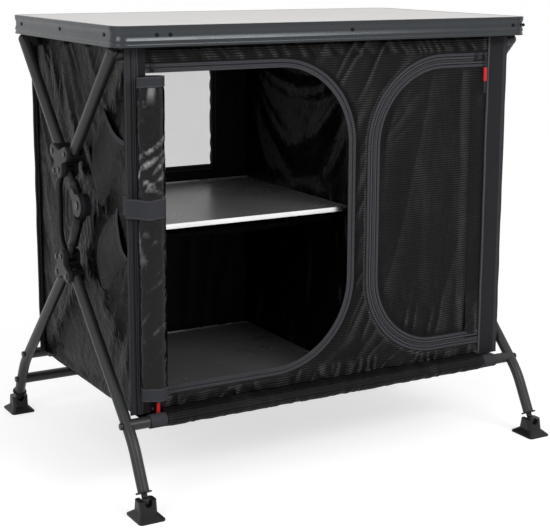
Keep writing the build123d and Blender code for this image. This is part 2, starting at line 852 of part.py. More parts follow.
sleeve_outer = tube_radius + sleeve_play + sleeve_wall

with BuildPart() as floor_fabric:
    with BuildSketch(Plane.XY.offset(cloth_low_z - cloth)):
        Rectangle(2 * box_half_x, 2 * bottom_rail_y)
    extrude(amount=cloth)
    with BuildSketch(Plane.YZ):
        with Locations((-bottom_rail_y, bottom_rail_z), (bottom_rail_y, bottom_rail_z)):
            Circle(sleeve_outer)
    extrude(amount=box_half_x, both=True, mode=Mode.SUBTRACT)
save(floor_fabric.part, "floor_fabric")

# Sleeves and straps that hold the floor cloth on the bottom rails
with BuildPart() as rail_sleeves:
    for bar_y, low_x, high_x in (
        (-bottom_rail_y, front_sleeve_left_x, sleeve_half_x - strap_width),
        (bottom_rail_y, -sleeve_half_x, sleeve_half_x),
        (-bottom_rail_y, front_sleeve_left_x - strap_width, front_sleeve_left_x - cloth_gap),
        (-bottom_rail_y, sleeve_half_x - strap_width + cloth_gap, sleeve_half_x),
    ):
        with BuildSketch(Plane.YZ.offset(low_x)):
            with Locations((bar_y, bottom_rail_z)):
                Circle(sleeve_outer)
                Circle(tube_radius + sleeve_play, mode=Mode.SUBTRACT)
        extrude(amount=high_x - low_x)
save(rail_sleeves.part, "rail_sleeves")

# Bindings: corner strips, the post on the right, and the edge of the rear window
with BuildPart() as fabric_bindings:
    for plane, sign in ((front_face, 1), (rear_back, -1)):
        with BuildSketch(plane):
            with Locations((-box_half_x + corner_strip_width / 2, wall_middle_z)):
                Rectangle(corner_strip_width, wall_height)
            if sign > 0:
                with Locations((box_half_x - post_strip_width / 2, wall_middle_z)):
                    Rectangle(post_strip_width, wall_height)
            else:
                with Locations((box_half_x - corner_strip_width / 2, wall_middle_z)):
                    Rectangle(corner_strip_width, wall_height)
                with Locations(window_middle):
                    Rectangle(*[edge + 2 * window_binding_width for edge in window_size])
                    Rectangle(*window_size, mode=Mode.SUBTRACT)
        extrude(amount=sign * tape_thickness)
    with BuildSketch(Plane.XY.offset(cloth_low_z)):
        with GridLocations(2 * box_half_x + corner_flange, 2 * box_half_y - cloth, 2, 2):
            Rectangle(corner_flange, cloth)
    extrude(amount=wall_height)
save(fabric_bindings.part, "fabric_bindings")

# Zip tapes round the two front openings
with BuildPart() as opening_tapes:
    rounded, low, high = left_opening[1:]
    low_radius, high_radius = left_opening_radii
    tape_start = -box_half_x + corner_strip_width
    with BuildSketch(front_face):
        d_outline(
            tape_start,
            rounded + tape_width,
            low - tape_width,
            high + tape_width,
            low_radius + tape_width,
            high_radius + tape_width,
        )
        d_outline(tape_start, rounded, low, high, low_radius, high_radius, mode=Mode.SUBTRACT)
    extrude(amount=tape_thickness)
    straight, rounded, low, high = door_outline
    low_radius, high_radius = door_radii
    with BuildSketch(front_face):
        d_outline(
            straight,
            rounded - tape_width,
            low - tape_width,
            high + tape_width,
            low_radius + tape_width,
            high_radius + tape_width,
        )
        d_outline(*door_outline, *door_radii, mode=Mode.SUBTRACT)
    extrude(amount=tape_thickness)
save(opening_tapes.part, "opening_tapes")

# Right door: a flap that folds along its right edge, with its half of the zip tape
with BuildPart() as right_door:
    rounded, low, high = door_outline[1:]
    low_radius, high_radius = door_radii
    with BuildSketch(front_back):
        d_outline(
            door_fold_x - zip_gap / 2,
            rounded + zip_gap / 2,
            low + zip_gap / 2,
            high - zip_gap / 2,
            low_radius - zip_gap / 2,
            high_radius - zip_gap / 2,
        )
    extrude(amount=cloth)
save(right_door.part, "right_door")

with BuildPart() as right_door_tape:
    with BuildSketch(front_face):
        d_outline(
            door_fold_x - zip_gap / 2,
            rounded + zip_gap / 2,
            low + zip_gap / 2,
            high - zip_gap / 2,
            low_radius - zip_gap / 2,
            high_radius - zip_gap / 2,
        )
        d_outline(
            door_fold_x - zip_gap / 2,
            rounded + tape_width,
            low + tape_width,
            high - tape_width,
            low_radius - tape_width,
            high_radius - tape_width,
            mode=Mode.SUBTRACT,
        )
    extrude(amount=tape_thickness)
save(right_door_tape.part, "right_door_tape")

# Left door, rolled up and held by three straps
roll_y = -box_half_y - tape_thickness - roll_strap_thickness - cloth_gap - roll_depth / 2

with BuildPart() as left_door_roll:
    with BuildSketch(Plane.XY.offset(roll_low_z)):
        with Locations((roll_center_x, roll_y)):
            Ellipse(roll_width / 2, roll_depth / 2)
    extrude(amount=roll_top_z - roll_low_z)
save(left_door_roll.part, "left_door_roll")

with BuildPart() as roll_straps:
    for low, high in roll_strap_levels:
        with BuildSketch(Plane.XY.offset(low)):
            with Locations((roll_center_x, roll_y)):
                Ellipse(roll_width / 2 + roll_strap_thickness, roll_depth / 2 + roll_strap_thickness)
                Ellipse(roll_width / 2, roll_depth / 2, mode=Mode.SUBTRACT)
        extrude(amount=high - low)
save(roll_straps.part, "roll_straps")

# Two sagging pockets on the left wall
front_y = pocket_front_inset - box_half_y

with BuildPart() as side_pockets:
    for rear_y, low_z, rear_top_z, front_top_z in (upper_pocket, lower_pocket):
        with BuildSketch(Plane.YZ.offset(-box_half_x)) as pocket_mouth:
            with BuildLine():
                Polyline(
                    (front_y, front_top_z),
                    (rear_y, rear_top_z),
                    (rear_y - (front_y - rear_y) * pocket_rear_bulge, (low_z + rear_top_z) / 2),
                    (rear_y, low_z),
                    (front_y, low_z + (front_top_z - low_z) * pocket_front_rise),
                    close=True,
                )
            make_face()
            fillet(pocket_mouth.vertices(), pocket_corner)
        extrude(amount=-pocket_thickness, taper=pocket_side_taper)
save(side_pockets.part, "side_pockets")

# Boards with a metal edge, on the floor and in the hammocks of the middle shelf


def boards(top_z, label):
    """A left and a right board under a compartment."""
    with BuildPart() as pair:
        with BuildSketch(Plane.XY.offset(top_z - board_thickness)):
            for low_x, high_x in (
                (-box_half_x + board_edge_gap, divider_x - board_edge_gap),
                (divider_x + board_edge_gap, box_half_x - board_edge_gap),
            ):
                with Locations(((low_x + high_x) / 2, 0)):
                    Rectangle(high_x - low_x, 2 * board_half_y)
        extrude(amount=board_thickness)
    save(pair.part, label)


def edge_trims(top_z, label):
    """Metal strips on the front and rear edges of the boards."""
    with BuildPart() as strips:
        with BuildSketch(Plane.XY.offset(top_z - board_thickness)):
            for low_x, high_x in (
                (-box_half_x + board_edge_gap, divider_x - board_edge_gap),
                (divider_x + board_edge_gap, box_half_x - board_edge_gap),
            ):
                for end in ENDS.values():
                    with Locations(((low_x + high_x) / 2, end * (board_half_y + trim_thickness / 2))):
                        Rectangle(high_x - low_x, trim_thickness)
        extrude(amount=trim_height)
    save(strips.part, label)


boards(shelf_top_z, "shelf_boards")
edge_trims(shelf_top_z, "shelf_edge_trims")
boards(cloth_low_z + board_thickness, "floor_boards")
edge_trims(cloth_low_z + board_thickness, "floor_edge_trims")

with BuildPart() as shelf_hammocks:
    hammock_z = shelf_top_z - board_thickness - cloth
    for low_x, high_x in (
        (-box_half_x + cloth + cloth_gap, divider_x - cloth / 2 - cloth_gap),
        (divider_x + cloth / 2 + cloth_gap, box_half_x - cloth - cloth_gap),
    ):
        with BuildSketch(Plane.XZ.offset(box_half_y - cloth - cloth_gap)):
            with Locations(((low_x + high_x) / 2, hammock_z + cloth / 2)):
                Rectangle(high_x - low_x, cloth)
        extrude(amount=-2 * (box_half_y - cloth - cloth_gap))
        with BuildSketch(Plane.XZ.offset(board_half_y)):
            with BuildLine():
                ThreePointArc(
                    (low_x, hammock_z),
                    ((low_x + high_x) / 2, hammock_z - hammock_sag),
                    (high_x, hammock_z),
                )
                Line((high_x, hammock_z), (low_x, hammock_z))
            make_face()
        extrude(amount=-cloth)
save(shelf_hammocks.part, "shelf_hammocks")

# Zip sliders and pulls
slider_y = box_half_y + tape_thickness + cloth_gap / 2
door_slider_x = door_outline[0] - door_slider_inset
parked_slider_x = door_outline[0] - parked_slider_inset
left_slider_x = left_slider_inset - box_half_x
door_zip_z = door_outline[3] - zip_gap / 2 + slider_height / 2 + cloth_gap
left_slider_z = roll_low_z - slider_height / 2 - cloth_gap
pull_y = slider_y + slider_thickness + pull_gap

with BuildPart() as zip_sliders:
    with BuildSketch(Plane.XZ.offset(slider_y)):
        with Locations(
            (parked_slider_x, door_zip_z),
            (left_slider_x, left_opening[3] + tape_width / 2),
        ):
            RectangleRounded(slider_width, slider_height, slider_width / 3)
    extrude(amount=slider_thickness)
save(zip_sliders.part, "zip_sliders")

for center_x, center_z, label in (
    (door_slider_x, door_zip_z, "door_slider"),
    (left_slider_x, left_slider_z, "left_slider"),
):
    with BuildPart() as slider:
        with BuildSketch(Plane.XZ.offset(slider_y)):
            with Locations((center_x, center_z)):
                RectangleRounded(slider_width, slider_height, slider_width / 3)
        extrude(amount=slider_thickness)
    save(slider.part, label)

# Moulded pulls that hang from two of the sliders
for center_x, top_z, length, label in (
    (parked_slider_x, door_zip_z, door_pull_length, "door_pull"),
    (left_slider_x, left_slider_z, left_pull_length, "left_pull"),
):
    with BuildPart() as pull:
        with BuildSketch(Plane.XZ.offset(pull_y)):
            with Locations((center_x, top_z - length / 2)):
                RectangleRounded(pull_width, length, pull_width / 3)
        extrude(amount=pull_thickness)
    save(pull.part, label)
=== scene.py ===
"""Looks of the camping kitchen unit: cloth, tapes, zips, finishes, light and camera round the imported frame."""

import json
import math
from functools import partial

import bpy
import numpy as np
from mathutils import Matrix, Vector


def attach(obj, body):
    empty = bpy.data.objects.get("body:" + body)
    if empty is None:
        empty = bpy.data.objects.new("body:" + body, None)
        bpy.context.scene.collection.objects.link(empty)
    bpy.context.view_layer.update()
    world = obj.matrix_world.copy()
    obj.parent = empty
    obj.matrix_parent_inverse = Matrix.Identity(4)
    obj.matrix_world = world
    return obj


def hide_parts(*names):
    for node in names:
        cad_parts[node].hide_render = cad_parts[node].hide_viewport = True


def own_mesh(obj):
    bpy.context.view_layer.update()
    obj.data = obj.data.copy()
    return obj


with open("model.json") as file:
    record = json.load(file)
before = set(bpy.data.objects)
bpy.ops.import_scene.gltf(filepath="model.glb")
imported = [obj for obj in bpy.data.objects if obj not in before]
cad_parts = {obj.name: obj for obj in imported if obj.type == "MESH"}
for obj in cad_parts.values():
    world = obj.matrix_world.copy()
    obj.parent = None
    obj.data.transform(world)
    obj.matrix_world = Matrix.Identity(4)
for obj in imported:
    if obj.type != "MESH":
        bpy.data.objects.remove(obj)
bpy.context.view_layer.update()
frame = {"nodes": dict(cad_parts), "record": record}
scene = bpy.context.scene

# Cupboard walls and openings, metres, in the row frame
HALF_X, HALF_Y = 0.403, 0.228
LOW_Z, TOP_Z = 0.152, 0.801
DIVIDER_X = 0.068
LEFT_D = (-0.390, 0.043, 0.195, 0.760, 0.160, 0.150)
DOOR_D = (0.362, 0.098, 0.192, 0.757, 0.152, 0.158)
FOLD_X = 0.328
WINDOW = (-0.375, -0.014, 0.515, 0.760)
RAIL_Y, RAIL_Z, RAIL_R = 0.2525, 0.144, 0.0105
SHELF_Z = 0.485
LEFT_SEAM_X, RIGHT_SEAM_X = -0.374, 0.3618
DIVIDER_LENGTH = 0.629

# The folding frame sinks by FOLD_TRAVEL, and cloth that spans it keeps KEEP of its height
FOLD_TRAVEL = 0.080
KEEP = (TOP_Z - LOW_Z - FOLD_TRAVEL) / (TOP_Z - LOW_Z)
LINK_X = 0.430
BOW_FOOT_Z, BOW_SPAN = 0.4023, 0.1554


# Shader helpers


class Nodes:
    """A node tree whose nodes are added by short calls."""

    def __init__(self, tree):
        self.tree = tree

    def put(self, value, socket):
        if isinstance(value, bpy.types.NodeSocket):
            self.tree.links.new(value, socket)
        else:
            socket.default_value = value

    def add(self, kind, settings=None, inputs=None):
        node = self.tree.nodes.new("ShaderNode" + kind)
        for key, value in (settings or {}).items():
            setattr(node, key, value)
        for key, value in (inputs or {}).items():
            self.put(value, node.inputs[key])
        return node

    def math(self, operation, a, b=0.0, c=0.5):
        return self.add("Math", {"operation": operation}, {0: a, 1: b, 2: c}).outputs[0]

    def times(self, *factors):
        product = factors[0]
        for factor in factors[1:]:
            product = self.math("MULTIPLY", product, factor)
        return product

    def coords(self, which="Object", scale=(1, 1, 1)):
        source = self.add("TexCoord").outputs[which]
        return self.add("Mapping", None, {"Vector": source, "Scale": scale}).outputs[0]

    def attribute(self, name):
        return self.add("Attribute", {"attribute_name": name}).outputs["Fac"]

    def noise(self, vector, scale, detail=2.0, rough=0.5, distortion=0.0):
        sockets = {"Vector": vector, "Scale": scale, "Detail": detail, "Roughness": rough, "Distortion": distortion}
        return self.add("TexNoise", None, sockets).outputs["Fac"]

    def spread(self, value, low, high, start=0.0, end=1.0):
        sockets = {"Value": value, "From Min": low, "From Max": high, "To Min": start, "To Max": end}
        return self.add("MapRange", None, sockets).outputs["Result"]

    def wave(self, value, period):
        """0 to 1 and back over each period."""
        return self.spread(self.math("SINE", self.math("MULTIPLY_ADD", value, 2 * math.pi / period, 0.0)), -1, 1)

    def mix(self, factor, a, b):
        return self.add("Mix", {"data_type": "RGBA"}, {"Factor": factor, 6: a, 7: b}).outputs[2]

    def bump(self, height, distance, strength=1.0, normal=None):
        sockets = {"Height": height, "Distance": distance, "Strength": strength}
        if normal is not None:
            sockets["Normal"] = normal
        return self.add("Bump", None, sockets).outputs[0]

    def seen(self):
        """1 for rays from the camera, mirrored or not, and 0 for those that only carry light."""
        rays = self.add("LightPath").outputs
        bounced = self.math("MAXIMUM", rays["Is Glossy Ray"], rays["Is Transmission Ray"])
        return self.math("MAXIMUM", rays["Is Camera Ray"], bounced)


class Shader(Nodes):
    """A Principled material."""

    def __init__(self, name):
        self.material = bpy.data.materials.new(name)
        self.material.use_nodes = True
        super().__init__(self.material.node_tree)
        self.shader = self.tree.nodes["Principled BSDF"]

    def set(self, **values):
        for key, value in values.items():
            self.put(value, self.shader.inputs[key.replace("_", " ")])

    def tint(self, factor, low, high):
        self.set(Base_Color=self.mix(factor, (*low, 1), (*high, 1)))


def outer_fabric(
    name="outer_cloth", low=(0.0016, 0.0014, 0.0015), high=(0.078, 0.071, 0.072), slant=0.55, stretch=(24, 4.5),
    base=0.17, sheen_gain=0.56, folds=1.45, pull=0.010,
):
    """Coated polyester with fine crosswise ribs and painted sheen streaks; lit and dim are the sides of its folds, as
    refine() writes them, painted into its colour as highlight and shade.
    """
    m = Shader(name)
    uv = m.coords("UV")
    across, up, _ = m.add("SeparateXYZ", None, {0: uv}).outputs
    rib = m.wave(m.math("MULTIPLY_ADD", m.noise(uv, 9.0, 3.0), 0.0016, up), 0.0046)
    yarn = m.wave(across, 0.0019)
    height = m.times(rib, m.math("MULTIPLY_ADD", yarn, 0.35, 0.65))
    patch = m.spread(m.noise(uv, 38.0, 4.0, 0.65), 0.3, 0.75, 0.62, 1.12)
    # Painted sheen: long slanted streaks, masked by broad clouds, brighten the colour; the same streaks also bump the
    # surface.
    streaks = m.add("Mapping", None, {"Vector": uv, "Scale": (*stretch, 1), "Rotation": (0, 0, slant)}).outputs[0]
    streak = m.noise(streaks, 1.0, 4.0, 0.6, 0.7)
    cloud = m.spread(m.noise(uv, 6.5, 3.0, 0.55), 0.38, 0.68)
    painted_sheen = m.times(m.spread(streak, 0.46, 0.72), cloud)
    # Painted shade darkens the dim sides of the folds and painted highlights brighten their lit sides; folds sets the
    # strength of those highlights.
    shaded = m.times(m.math("MULTIPLY_ADD", painted_sheen, sheen_gain, base), m.math("SUBTRACT", 1.0, m.attribute("dim")))
    level = m.math("ADD", shaded, m.times(m.attribute("lit"), folds))
    m.tint(m.times(height, patch, level), low, high)
    soft = m.noise(m.coords(), 55.0, 3.0, 0.6)
    pulled = m.bump(streak, pull, 0.45, m.bump(height, 0.0007, 0.75))
    m.set(Normal=m.bump(soft, 0.0022, 0.35, pulled), Roughness=m.spread(soft, 0.2, 0.8, 0.40, 0.58))
    m.set(Specular_IOR_Level=0.09)
    return m.material


def lining_fabric(name="lining_cloth", level=0.0014, gloss=(0.22, 0.40), shine=0.045, glint_tone=0.032, folds=False):
    """Black coated cloth with a wet-looking, crumpled face and painted glints in its colour; with folds set, the lit
    sides of its folds are painted as highlights too.
    """
    m = Shader(name)
    space = m.coords()
    broad = m.noise(space, 14.0, 3.0, 0.55, 0.8)
    fine = m.noise(space, 75.0, 3.0, 0.6)
    weave = m.noise(space, 1400.0, 1.0)
    # Painted highlights: sparse glints, where streaky noise passes a threshold, brighten the black colour.
    tall = m.noise(m.coords("Object", (26, 26, 5)), 1.0, 4.0, 0.6, 0.8)
    glint = m.times(m.spread(tall, 0.57, 0.70), m.spread(m.noise(space, 7.0, 3.0), 0.48, 0.62))
    if folds:
        glint = m.math("MAXIMUM", glint, m.times(m.attribute("lit"), m.spread(fine, 0.35, 0.70)))
    m.tint(glint, (level, level, level), (glint_tone, glint_tone, glint_tone * 1.03))
    crumpled = m.bump(fine, 0.0022, 0.5, m.bump(broad, 0.010, 0.55))
    m.set(Normal=m.bump(weave, 0.0001, 0.4, crumpled), Roughness=m.spread(fine, 0.25, 0.8, *gloss))
    m.set(Specular_IOR_Level=shine)
    return m.material


def woven_tape(name="woven_tape", base=(0.043, 0.044, 0.050), stitched=True):
    """Twill tape; u runs along it, v is the distance from its nearer edge."""
    m = Shader(name)
    along, edge, _ = m.add("SeparateXYZ", None, {0: m.coords("UV")}).outputs
    slant = m.wave(m.math("ADD", along, edge), 0.0013)
    grain = m.noise(m.coords(), 260.0, 3.0, 0.6)
    shade = m.times(m.spread(slant, 0, 1, 0.72, 1.0), m.spread(grain, 0.2, 0.8, 0.72, 1.1))
    dark = tuple(0.45 * c for c in base)
    color = m.mix(shade, (*dark, 1), (*base, 1))
    height = slant
    if stitched:
        near = m.math("COMPARE", edge, 0.0021, 0.00045)
        thread = m.times(near, m.math("GREATER_THAN", m.wave(along, 0.0042), 0.3))
        color = m.mix(thread, color, (0.11, 0.11, 0.122, 1))
        height = m.math("MULTIPLY_ADD", thread, 1.6, height)
    m.set(Base_Color=color, Normal=m.bump(height, 0.0003, 0.6), Roughness=0.7, Specular_IOR_Level=0.12)
    return m.material


def zip_coil():
    """Nylon coil with fine teeth."""
    m = Shader("zip_coil")
    tooth = m.wave(m.add("SeparateXYZ", None, {0: m.coords("UV")}).outputs[0], 0.0018)
    m.tint(tooth, (0.006, 0.006, 0.008), (0.050, 0.050, 0.058))
    m.set(Normal=m.bump(tooth, 0.0006, 0.9), Roughness=0.42)
    return m.material


def painted_tube():
    """Powder coat on aluminium tube."""
    m = Shader("painted_tube")
    space = m.coords()
    peel = m.noise(space, 620.0, 2.0)
    rub = m.noise(space, 21.0, 5.0, 0.65)
    m.tint(rub, (0.0150, 0.0155, 0.0165), (0.0280, 0.0290, 0.0305))
    m.set(Normal=m.bump(peel, 0.00016, 0.35), Specular_IOR_Level=0.32)
    m.set(Roughness=m.spread(rub, 0.25, 0.75, 0.32, 0.44))
    return m.material


def moulded(name, low, high, rough=(0.42, 0.58), grain=900.0, depth=0.00018):
    """Moulded plastic with a fine erosion texture."""
    m = Shader(name)
    space = m.coords()
    texture = m.noise(space, grain, 3.0, 0.6)
    wear = m.noise(space, 26.0, 5.0, 0.6)
    m.tint(wear, low, high)
    m.set(Normal=m.bump(texture, depth, 0.5), Roughness=m.spread(wear, 0.25, 0.75, *rough))
    m.set(Specular_IOR_Level=0.25)
    return m.material


def inboard_shaded(name, edge, outer, inner):
    """Moulded plastic with painted shade: inboard of a distance from the middle of the unit it takes the darker inner
    colour, outboard of it the outer colour.
    """
    m = Shader(name)
    space = m.coords()
    across = m.add("SeparateXYZ", None, {0: m.add("NewGeometry").outputs["Position"]}).outputs[0]
    # Painted shade: everything inboard of the distance is darkened.
    outboard_side = m.math("GREATER_THAN", m.math("ABSOLUTE", across), edge)
    wear = m.spread(m.noise(space, 30.0, 5.0, 0.6), 0.25, 0.75, 0.72, 1.15)
    shade = m.mix(outboard_side, (*inner, 1), (*outer, 1))
    worn = m.add("Mix", {"data_type": "RGBA", "blend_type": "MULTIPLY"}, {0: 1.0, 6: shade, 7: wear}).outputs[2]
    m.set(Base_Color=worn, Specular_IOR_Level=0.22)
    m.set(Normal=m.bump(m.noise(space, 900.0, 3.0, 0.6), 0.00018, 0.5), Roughness=m.spread(wear, 0.7, 1.2, 0.40, 0.56))
    return m.material


def brushed(name, low, high, rough=(0.26, 0.36), metallic=1.0, depth=0.00009):
    """Drawn or anodised metal, its fine lines running along X and Y."""
    m = Shader(name)
    lines = m.noise(m.coords("Object", (3, 3, 1500)), 1.0, 4.0, 0.7)
    cloud = m.noise(m.coords(), 18.0, 4.0)
    m.tint(m.math("MULTIPLY_ADD", lines, 0.7), low, high)
    m.set(Normal=m.bump(lines, depth, 0.5), Metallic=metallic, Roughness=m.spread(cloud, 0.25, 0.75, *rough))
    return m.material


def laminate(name, low, high, rough=(0.36, 0.5), speck=700.0):
    """Laminated board with a faint speckle."""
    m = Shader(name)
    space = m.coords()
    grain = m.noise(space, speck, 3.0, 0.75)
    cloud = m.noise(space, 4.0, 4.0, 0.55)
    both = m.math("ADD", m.times(grain, 0.65), m.times(cloud, 0.35))
    m.tint(m.spread(both, 0.25, 0.75), low, high)
    m.set(Normal=m.bump(grain, 0.00008, 0.4), Roughness=m.spread(cloud, 0.25, 0.75, *rough))
    return m.material


OUTER = outer_fabric()
LINING = lining_fabric()
# The rolled lining has brighter painted glints and paints its lit attribute as highlights.
ROLLED = lining_fabric("rolled_lining", 0.003, (0.10, 0.24), 0.20, 0.34, True)
# End-wall cloth: weaker painted sheen and weaker painted fold highlight and shade.
SIDE = outer_fabric("side_cloth", slant=-0.60, stretch=(9, 1.5), base=0.085, sheen_gain=0.24, folds=0.85, pull=0.004)
TAPE = woven_tape()
BAND = woven_tape("plain_band", (0.046, 0.047, 0.053), False)
BLACK_BAND = woven_tape("black_band", (0.016, 0.016, 0.018))
CORNER = woven_tape("corner_strip", (0.020, 0.020, 0.023), False)
COIL = zip_coil()
TUBE = painted_tube()
# Hubs and links: their inboard sides are darkened as painted shade.
HUB = inboard_shaded("hub_plastic", 0.4405, (0.022, 0.0225, 0.024), (0.004, 0.004, 0.005))
LINK = inboard_shaded("link_plastic", 0.4301, (0.020, 0.0205, 0.0215), (0.004, 0.006, 0.009))
BLACK = moulded("black_plastic", (0.005, 0.005, 0.0055), (0.013, 0.013, 0.014), (0.34, 0.5))
STRIP = moulded("strip_plastic", (0.026, 0.025, 0.027), (0.044, 0.042, 0.044), (0.35, 0.5), 500.0)
RED = moulded("red_plastic", (0.52, 0.010, 0.014), (0.70, 0.022, 0.028), (0.32, 0.48))
RIM = brushed("anodised_rim", (0.021, 0.024, 0.026), (0.050, 0.054, 0.058), (0.22, 0.32), 0.85)
TRIM = brushed("bright_trim", (0.62, 0.62, 0.62), (0.86, 0.86, 0.86), (0.22, 0.34))
STEEL = brushed("screw_steel", (0.004, 0.004, 0.005), (0.018, 0.018, 0.019), (0.30, 0.40))
DARK_STEEL = brushed("dark_steel", (0.018, 0.018, 0.019), (0.045, 0.045, 0.047), (0.28, 0.4))
TOP = laminate("worktop_laminate", (0.600, 0.580, 0.565), (0.715, 0.695, 0.680), (0.40, 0.52))
BOARD = laminate("shelf_laminate", (0.105, 0.105, 0.107), (0.150, 0.150, 0.152), (0.22, 0.34), 900.0)

FINISHES = {
    "worktop_laminate": TOP,
    "anodised_rim": RIM,
    "frame_tube": TUBE,
    "hub_plastic": HUB,
    "black_plastic": BLACK,
    "outer_fabric": OUTER,
    "lining_fabric": LINING,
    "binding_tape": TAPE,
    "board_grey": BOARD,
    "bright_trim": TRIM,
    "red_plastic": RED,
    "spring_plastic": STRIP,
    "steel": STEEL,
    "dark_steel": DARK_STEEL,
}
SLOT_OF = {part["node"]: part["material_slot"] for part in frame["record"]["subparts"]}
for node_name, node in frame["nodes"].items():
    node.data.materials.clear()
    node.data.materials.append(LINK if "link" in node_name else FINISHES[SLOT_OF[node_name]])


# Mesh helpers


def noise2(x, y, seed):
    """Smooth value noise on arrays, from about -1 to 1."""
    xi, yi = np.floor(x), np.floor(y)
    fx, fy = x - xi, y - yi
    fx, fy = fx * fx * (3 - 2 * fx), fy * fy * (3 - 2 * fy)

    def corner(a, b):
        h = np.sin(a * 127.1 + b * 311.7 + seed * 74.7) * 43758.5453
        return 2 * (h - np.floor(h)) - 1

    near = corner(xi, yi) * (1 - fx) + corner(xi + 1, yi) * fx
    far = corner(xi, yi + 1) * (1 - fx) + corner(xi + 1, yi + 1) * fx
    return near * (1 - fy) + far * fy


def creases(s, t, angle, length, width, seed):
    """Long soft folds that run at an angle in degrees, 0 to 1, sharp along their crests."""
    c, d = math.cos(math.radians(angle)), math.sin(math.radians(angle))
    along, across = s * c + t * d, -s * d + t * c
    bent = across + 0.35 * width * noise2(along / length * 1.7, across / width * 0.4, seed + 5)
    return 1 - np.abs(noise2(along / length, bent / width, seed)) ** 0.8


def ease(value, low, high):
    """0 below low, 1 above high, smooth in between."""
    k = np.clip((value - low) / (high - low), 0, 1)
    return k * k * (3 - 2 * k)


def build(name, points, faces, uvs, materials, smooth=True):
    """Mesh object in the row frame."""
    mesh = bpy.data.meshes.new(name)
    mesh.from_pydata(np.asarray(points, float).tolist(), [], faces)
    loops = np.zeros(len(mesh.loops), np.int32)
    mesh.loops.foreach_get("vertex_index", loops)
    mesh.uv_layers.new(name="UVMap").data.foreach_set("uv", np.asarray(uvs, np.float32)[loops].ravel())
    for material in materials:
        mesh.materials.append(material)
    mesh.polygons.foreach_set("use_smooth", [smooth] * len(mesh.polygons))
    obj = bpy.data.objects.new(name, mesh)
    scene.collection.objects.link(obj)
    return obj


def quads(rows, columns, wrap=False):
    """Faces of a grid of points stored row by row."""
    across = columns if wrap else columns - 1
    return [
        (r * columns + c, r * columns + (c + 1) % columns, (r + 1) * columns + (c + 1) % columns, (r + 1) * columns + c)
        for r in range(rows - 1)
        for c in range(across)
    ]


def grid(name, points, uvs, materials):
    """Mesh of a grid of points, rows by columns."""
    return build(name, points.reshape(-1, 3), quads(*points.shape[:2]), uvs.reshape(-1, 2), materials)


def run_along(points):
    """Distance along a line to each of its points."""
    return np.concatenate([[0], np.cumsum(np.linalg.norm(np.diff(points, axis=0), axis=1))])


def directions(points):
    """Unit directions along a line."""
    ways = np.gradient(points, axis=0)
    return ways / np.linalg.norm(ways, axis=1)[:, None]


def ribbon(name, centers, side, out, profile, material, closed=False):
    """Band along a line: profile points are (across, height) pairs, and side and out their directions."""
    centers, profile = np.asarray(centers, float), np.asarray(profile, float)
    side, out = (np.broadcast_to(np.asarray(a, float), centers.shape) for a in (side, out))
    rows, columns = len(centers), len(profile)
    points = centers[:, None] + profile[None, :, :1] * side[:, None] + profile[None, :, 1:] * out[:, None]
    low, high = profile[:, 0].min(), profile[:, 0].max()
    edge = np.minimum(profile[:, 0] - low, high - profile[:, 0])
    uvs = np.stack(np.broadcast_arrays(run_along(centers)[:, None], edge[None]), -1)
    faces = quads(rows, columns, closed)
    if closed:
        faces += [tuple(range(columns))[::-1], tuple((rows - 1) * columns + c for c in range(columns))]
    return build(name, points.reshape(-1, 3), faces, uvs.reshape(-1, 2), [material])


def band_profile(low, high, height, base=0.0):
    """Cross-section of a flat tape with rounded edges, lying on the cloth."""
    r = min(height * 0.5, (high - low) * 0.2)
    inner = np.linspace(low + 2 * r, high - 2 * r, 4)
    return [
        (low, base),
        (low, base + height - r),
        (low + r, base + height),
        *[(x, base + height) for x in inner],
        (high - r, base + height),
        (high, base + height - r),
        (high, base),
    ]


def thicken(obj, thickness, offset=-1, inner=0):
    """Gives a sheet its thickness; inner counts on to the material of its other face."""
    solid = obj.modifiers.new("Thickness", "SOLIDIFY")
    solid.thickness, solid.offset, solid.material_offset = thickness, offset, inner


def soften(obj):
    """One subdivision, kept as a modifier."""
    smooth = obj.modifiers.new("Smooth", "SUBSURF")
    smooth.levels = smooth.render_levels = 1
    return smooth


def apply(obj, modifier):
    with bpy.context.temp_override(object=obj, active_object=obj, selected_objects=[obj]):
        bpy.ops.object.modifier_apply(modifier=modifier.name)


def block(name, center, size, round_by, material):
    """Box with rounded edges."""
    ends = (-0.5, 0.5)
    points = [tuple(Vector(center) + Vector(size) * Vector((x, y, z))) for x in ends for y in ends for z in ends]
    faces = [(0, 1, 3, 2), (4, 6, 7, 5), (0, 4, 5, 1), (2, 3, 7, 6), (0, 2, 6, 4), (1, 5, 7, 3)]
    obj = build(name, points, faces, [(p[0], p[2]) for p in points], [material])
    bevel = obj.modifiers.new("Bevel", "BEVEL")
    bevel.width = round_by
    bevel.segments = 3
    bevel.limit_method = "NONE"
    return obj


def d_path(outline, grow=0.0, straight=None):
    """Points (x, z) along a D outline with their outward normals, from the straight side's top round to its foot."""
    start, rounded, low, high, low_radius, high_radius = outline
    if straight is not None:
        start = straight
    way = 1 if rounded > start else -1
    rounded, low, high = rounded + way * grow, low - grow, high + grow
    low_radius, high_radius = low_radius + grow, high_radius + grow
    points, normals = [], []
    for x in np.linspace(start, rounded - way * high_radius, 24)[:-1]:
        points.append((x, high))
        normals.append((0, 1))
    for a in np.linspace(90, 0, 31):
        c, s = math.cos(math.radians(a)), math.sin(math.radians(a))
        points.append((rounded - way * high_radius * (1 - c), high - high_radius * (1 - s)))
        normals.append((way * c, s))
    for z in np.linspace(high - high_radius, low + low_radius, 30)[1:-1]:
        points.append((rounded, z))
        normals.append((way, 0))
    for a in np.linspace(0, -90, 31):
        c, s = math.cos(math.radians(a)), math.sin(math.radians(a))
        points.append((rounded - way * low_radius * (1 - c), low + low_radius * (1 + s)))
        normals.append((way * c, s))
    for x in np.linspace(rounded - way * low_radius, start, 24)[1:]:
        points.append((x, low))
        normals.append((0, -1))
    return np.array(points), np.array(normals)


